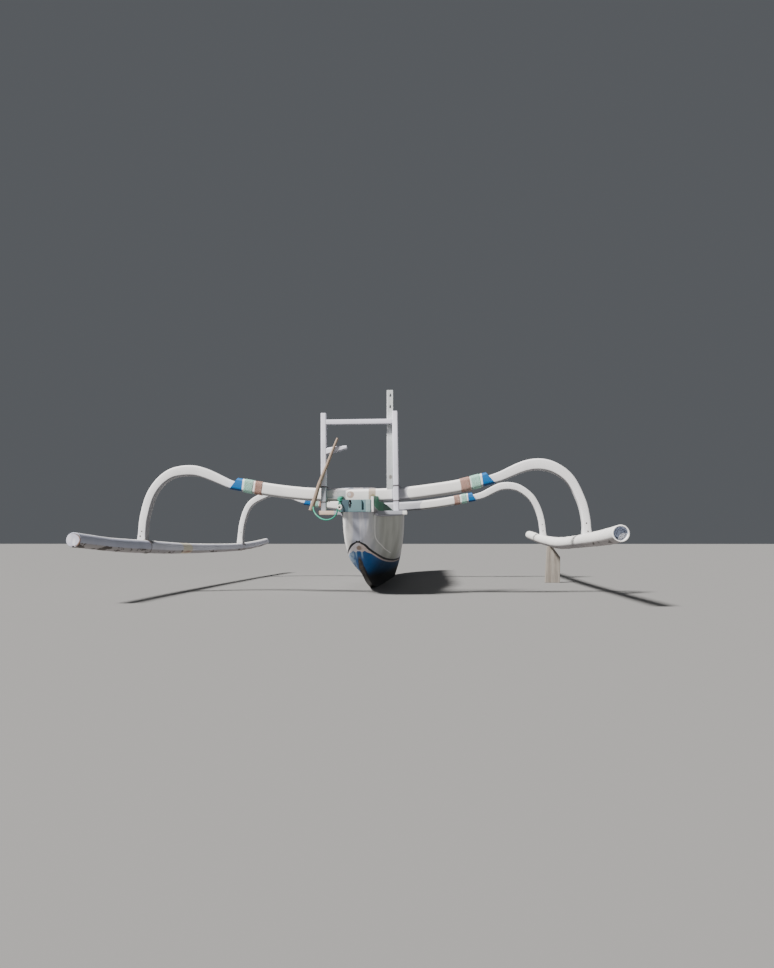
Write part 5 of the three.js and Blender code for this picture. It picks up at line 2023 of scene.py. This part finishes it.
    def bindings(self) -> None:
        """Bands of cord round each boom's end, over the arm that lies in it."""
        radius = self.binding_cord
        for word, side in ((word, side) for word in self.booms for side in Side):
            lengths = BOOM_LINES[f"{word}_{side.word}"]
            trail = Line([(side.value * x, self.booms[word], z) for x, z in lengths]).trail(400)
            brown, brown_end, mint, mint_end, _ = self.bands[f"{word}_{side.word}"]
            for label, start, stop, finish in (("brown", brown, brown_end, BROWN_CORD),
                                               ("mint", mint, mint_end, MINT_CORD)):
                first, last = (trail[np.argmin(np.abs(np.abs(trail[:, 0]) - x))]
                               for x in (start + radius, stop - radius))
                axis = last - first
                length = np.linalg.norm(axis)
                turns = int(length / (self.binding_pitch * radius))
                normal = np.cross(axis / length, ATHWART)
                ring = [a * np.array(ATHWART) + b * normal for a, b in self.wrap(radius)]
                name = f"binding_{label}_{word}_{side.word}"
                made = CORD_TURNS.run(name, loop_mesh(name, [ring]), finish, Turns=turns,
                                      Pitch=Vector(axis / turns), Radius=radius,
                                      Unevenness=0.006, Seed=len(name))
                made.data.transform(RIG @ Matrix.Translation(Vector(first)))
                hand_in(made, "rope")

    def wrap(self, radius: float) -> list:
        """Loop of cord round a boom and the arm in it.

        Args:
            radius: the cord's radius.

        Returns:
            Rows of two numbers, forward and up from the boom's axis.
        """
        width, height, corner = self.boom_size
        x, z = width / 2 - corner, height / 2 - corner
        tip, arm = 0.012, height / 2 - 0.02
        x_arm, z_arm = self.arm_plane + self.arm_depth / 2 - tip, arm - tip
        # each corner: its middle, its radius, its angles in half turns, and its points
        rows = []
        for cx, cz, bend, start, stop, count in (
            (x, z, corner, 0.25, 0.5, 6), (-x, z, corner, 0.5, 1.0, 6),
            (-x, -z, corner, 1.0, 1.5, 6), (x, -z, corner, 1.5, 1.75, 6),
            (x_arm, -z_arm, tip, -0.25, 0, 4), (x_arm, z_arm, tip, 0, 0.25, 4),
        ):
            for angle in math.pi * np.linspace(start, stop, count):
                rows.append((cx + (bend + radius) * math.cos(angle),
                             cz + (bend + radius) * math.sin(angle)))
        return rows

    def foot_lashings(self) -> None:
        """Thin bark cord round the port float under each arm's foot."""
        line = self.float_line(PORT)
        places = line.points[:, 1]
        loops = []
        for word, off in self.bark_places.items():
            where = self.booms[word] + off
            u = np.interp(where, places, np.arange(len(places))) / (len(places) - 1)
            centre = line.at(u)
            radius = line.numbers(u)[0] + self.bark
            loops.append([
                (centre[0] + radius * math.cos(a), where - self.bark_lean * math.sin(a),
                 centre[2] + radius * math.sin(a)) for a in circle_shares(40)
            ])
        mesh = loop_mesh("foot_lashings", loops, place=RIG)
        hand_in(CORD_PATH.run("foot_lashings", mesh, BARK_CORD, Radius=self.bark), "rope")

    def pegs(self) -> None:
        """Dark peg ends in the arms, near their feet."""
        face = self.arm_plane - self.arm_depth / 2
        points = [(x, self.booms[word] + face, z) for word, x, z in self.peg_places]
        mesh = point_mesh("arm_pegs", points, [(0, -1, 0)] * len(points), RIG)
        pegs = NAIL_HEADS.run("arm_pegs", mesh, PEG_WOOD, Radius=self.peg_radius, Proud=0.3, Seed=5)
        hand_in(pegs, "bare_wood")

    def prop(self) -> None:
        """The weathered board under the starboard float."""
        hand_in(Mesher.refined("float_prop", GREY_WOOD, 0.004), "bare_wood")

    def build(self) -> None:
        """Makes every piece of the outriggers."""
        for word in self.booms:
            for side in Side:
                self.boom(word, side)
                self.arm(word, side)
        for side in Side:
            self.float_pole(side)
        self.bindings()
        self.foot_lashings()
        self.pegs()
        self.prop()


def main() -> None:
    """Builds the canoe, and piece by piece."""
    logging.basicConfig(level=logging.INFO, format="%(name)s: %(message)s")
    Studio().build()
    HangingRope().build()
    Hull(HullForm()).build()
    SternFrame().build()
    Outriggers().build()


if __name__ == "__main__":
    main()
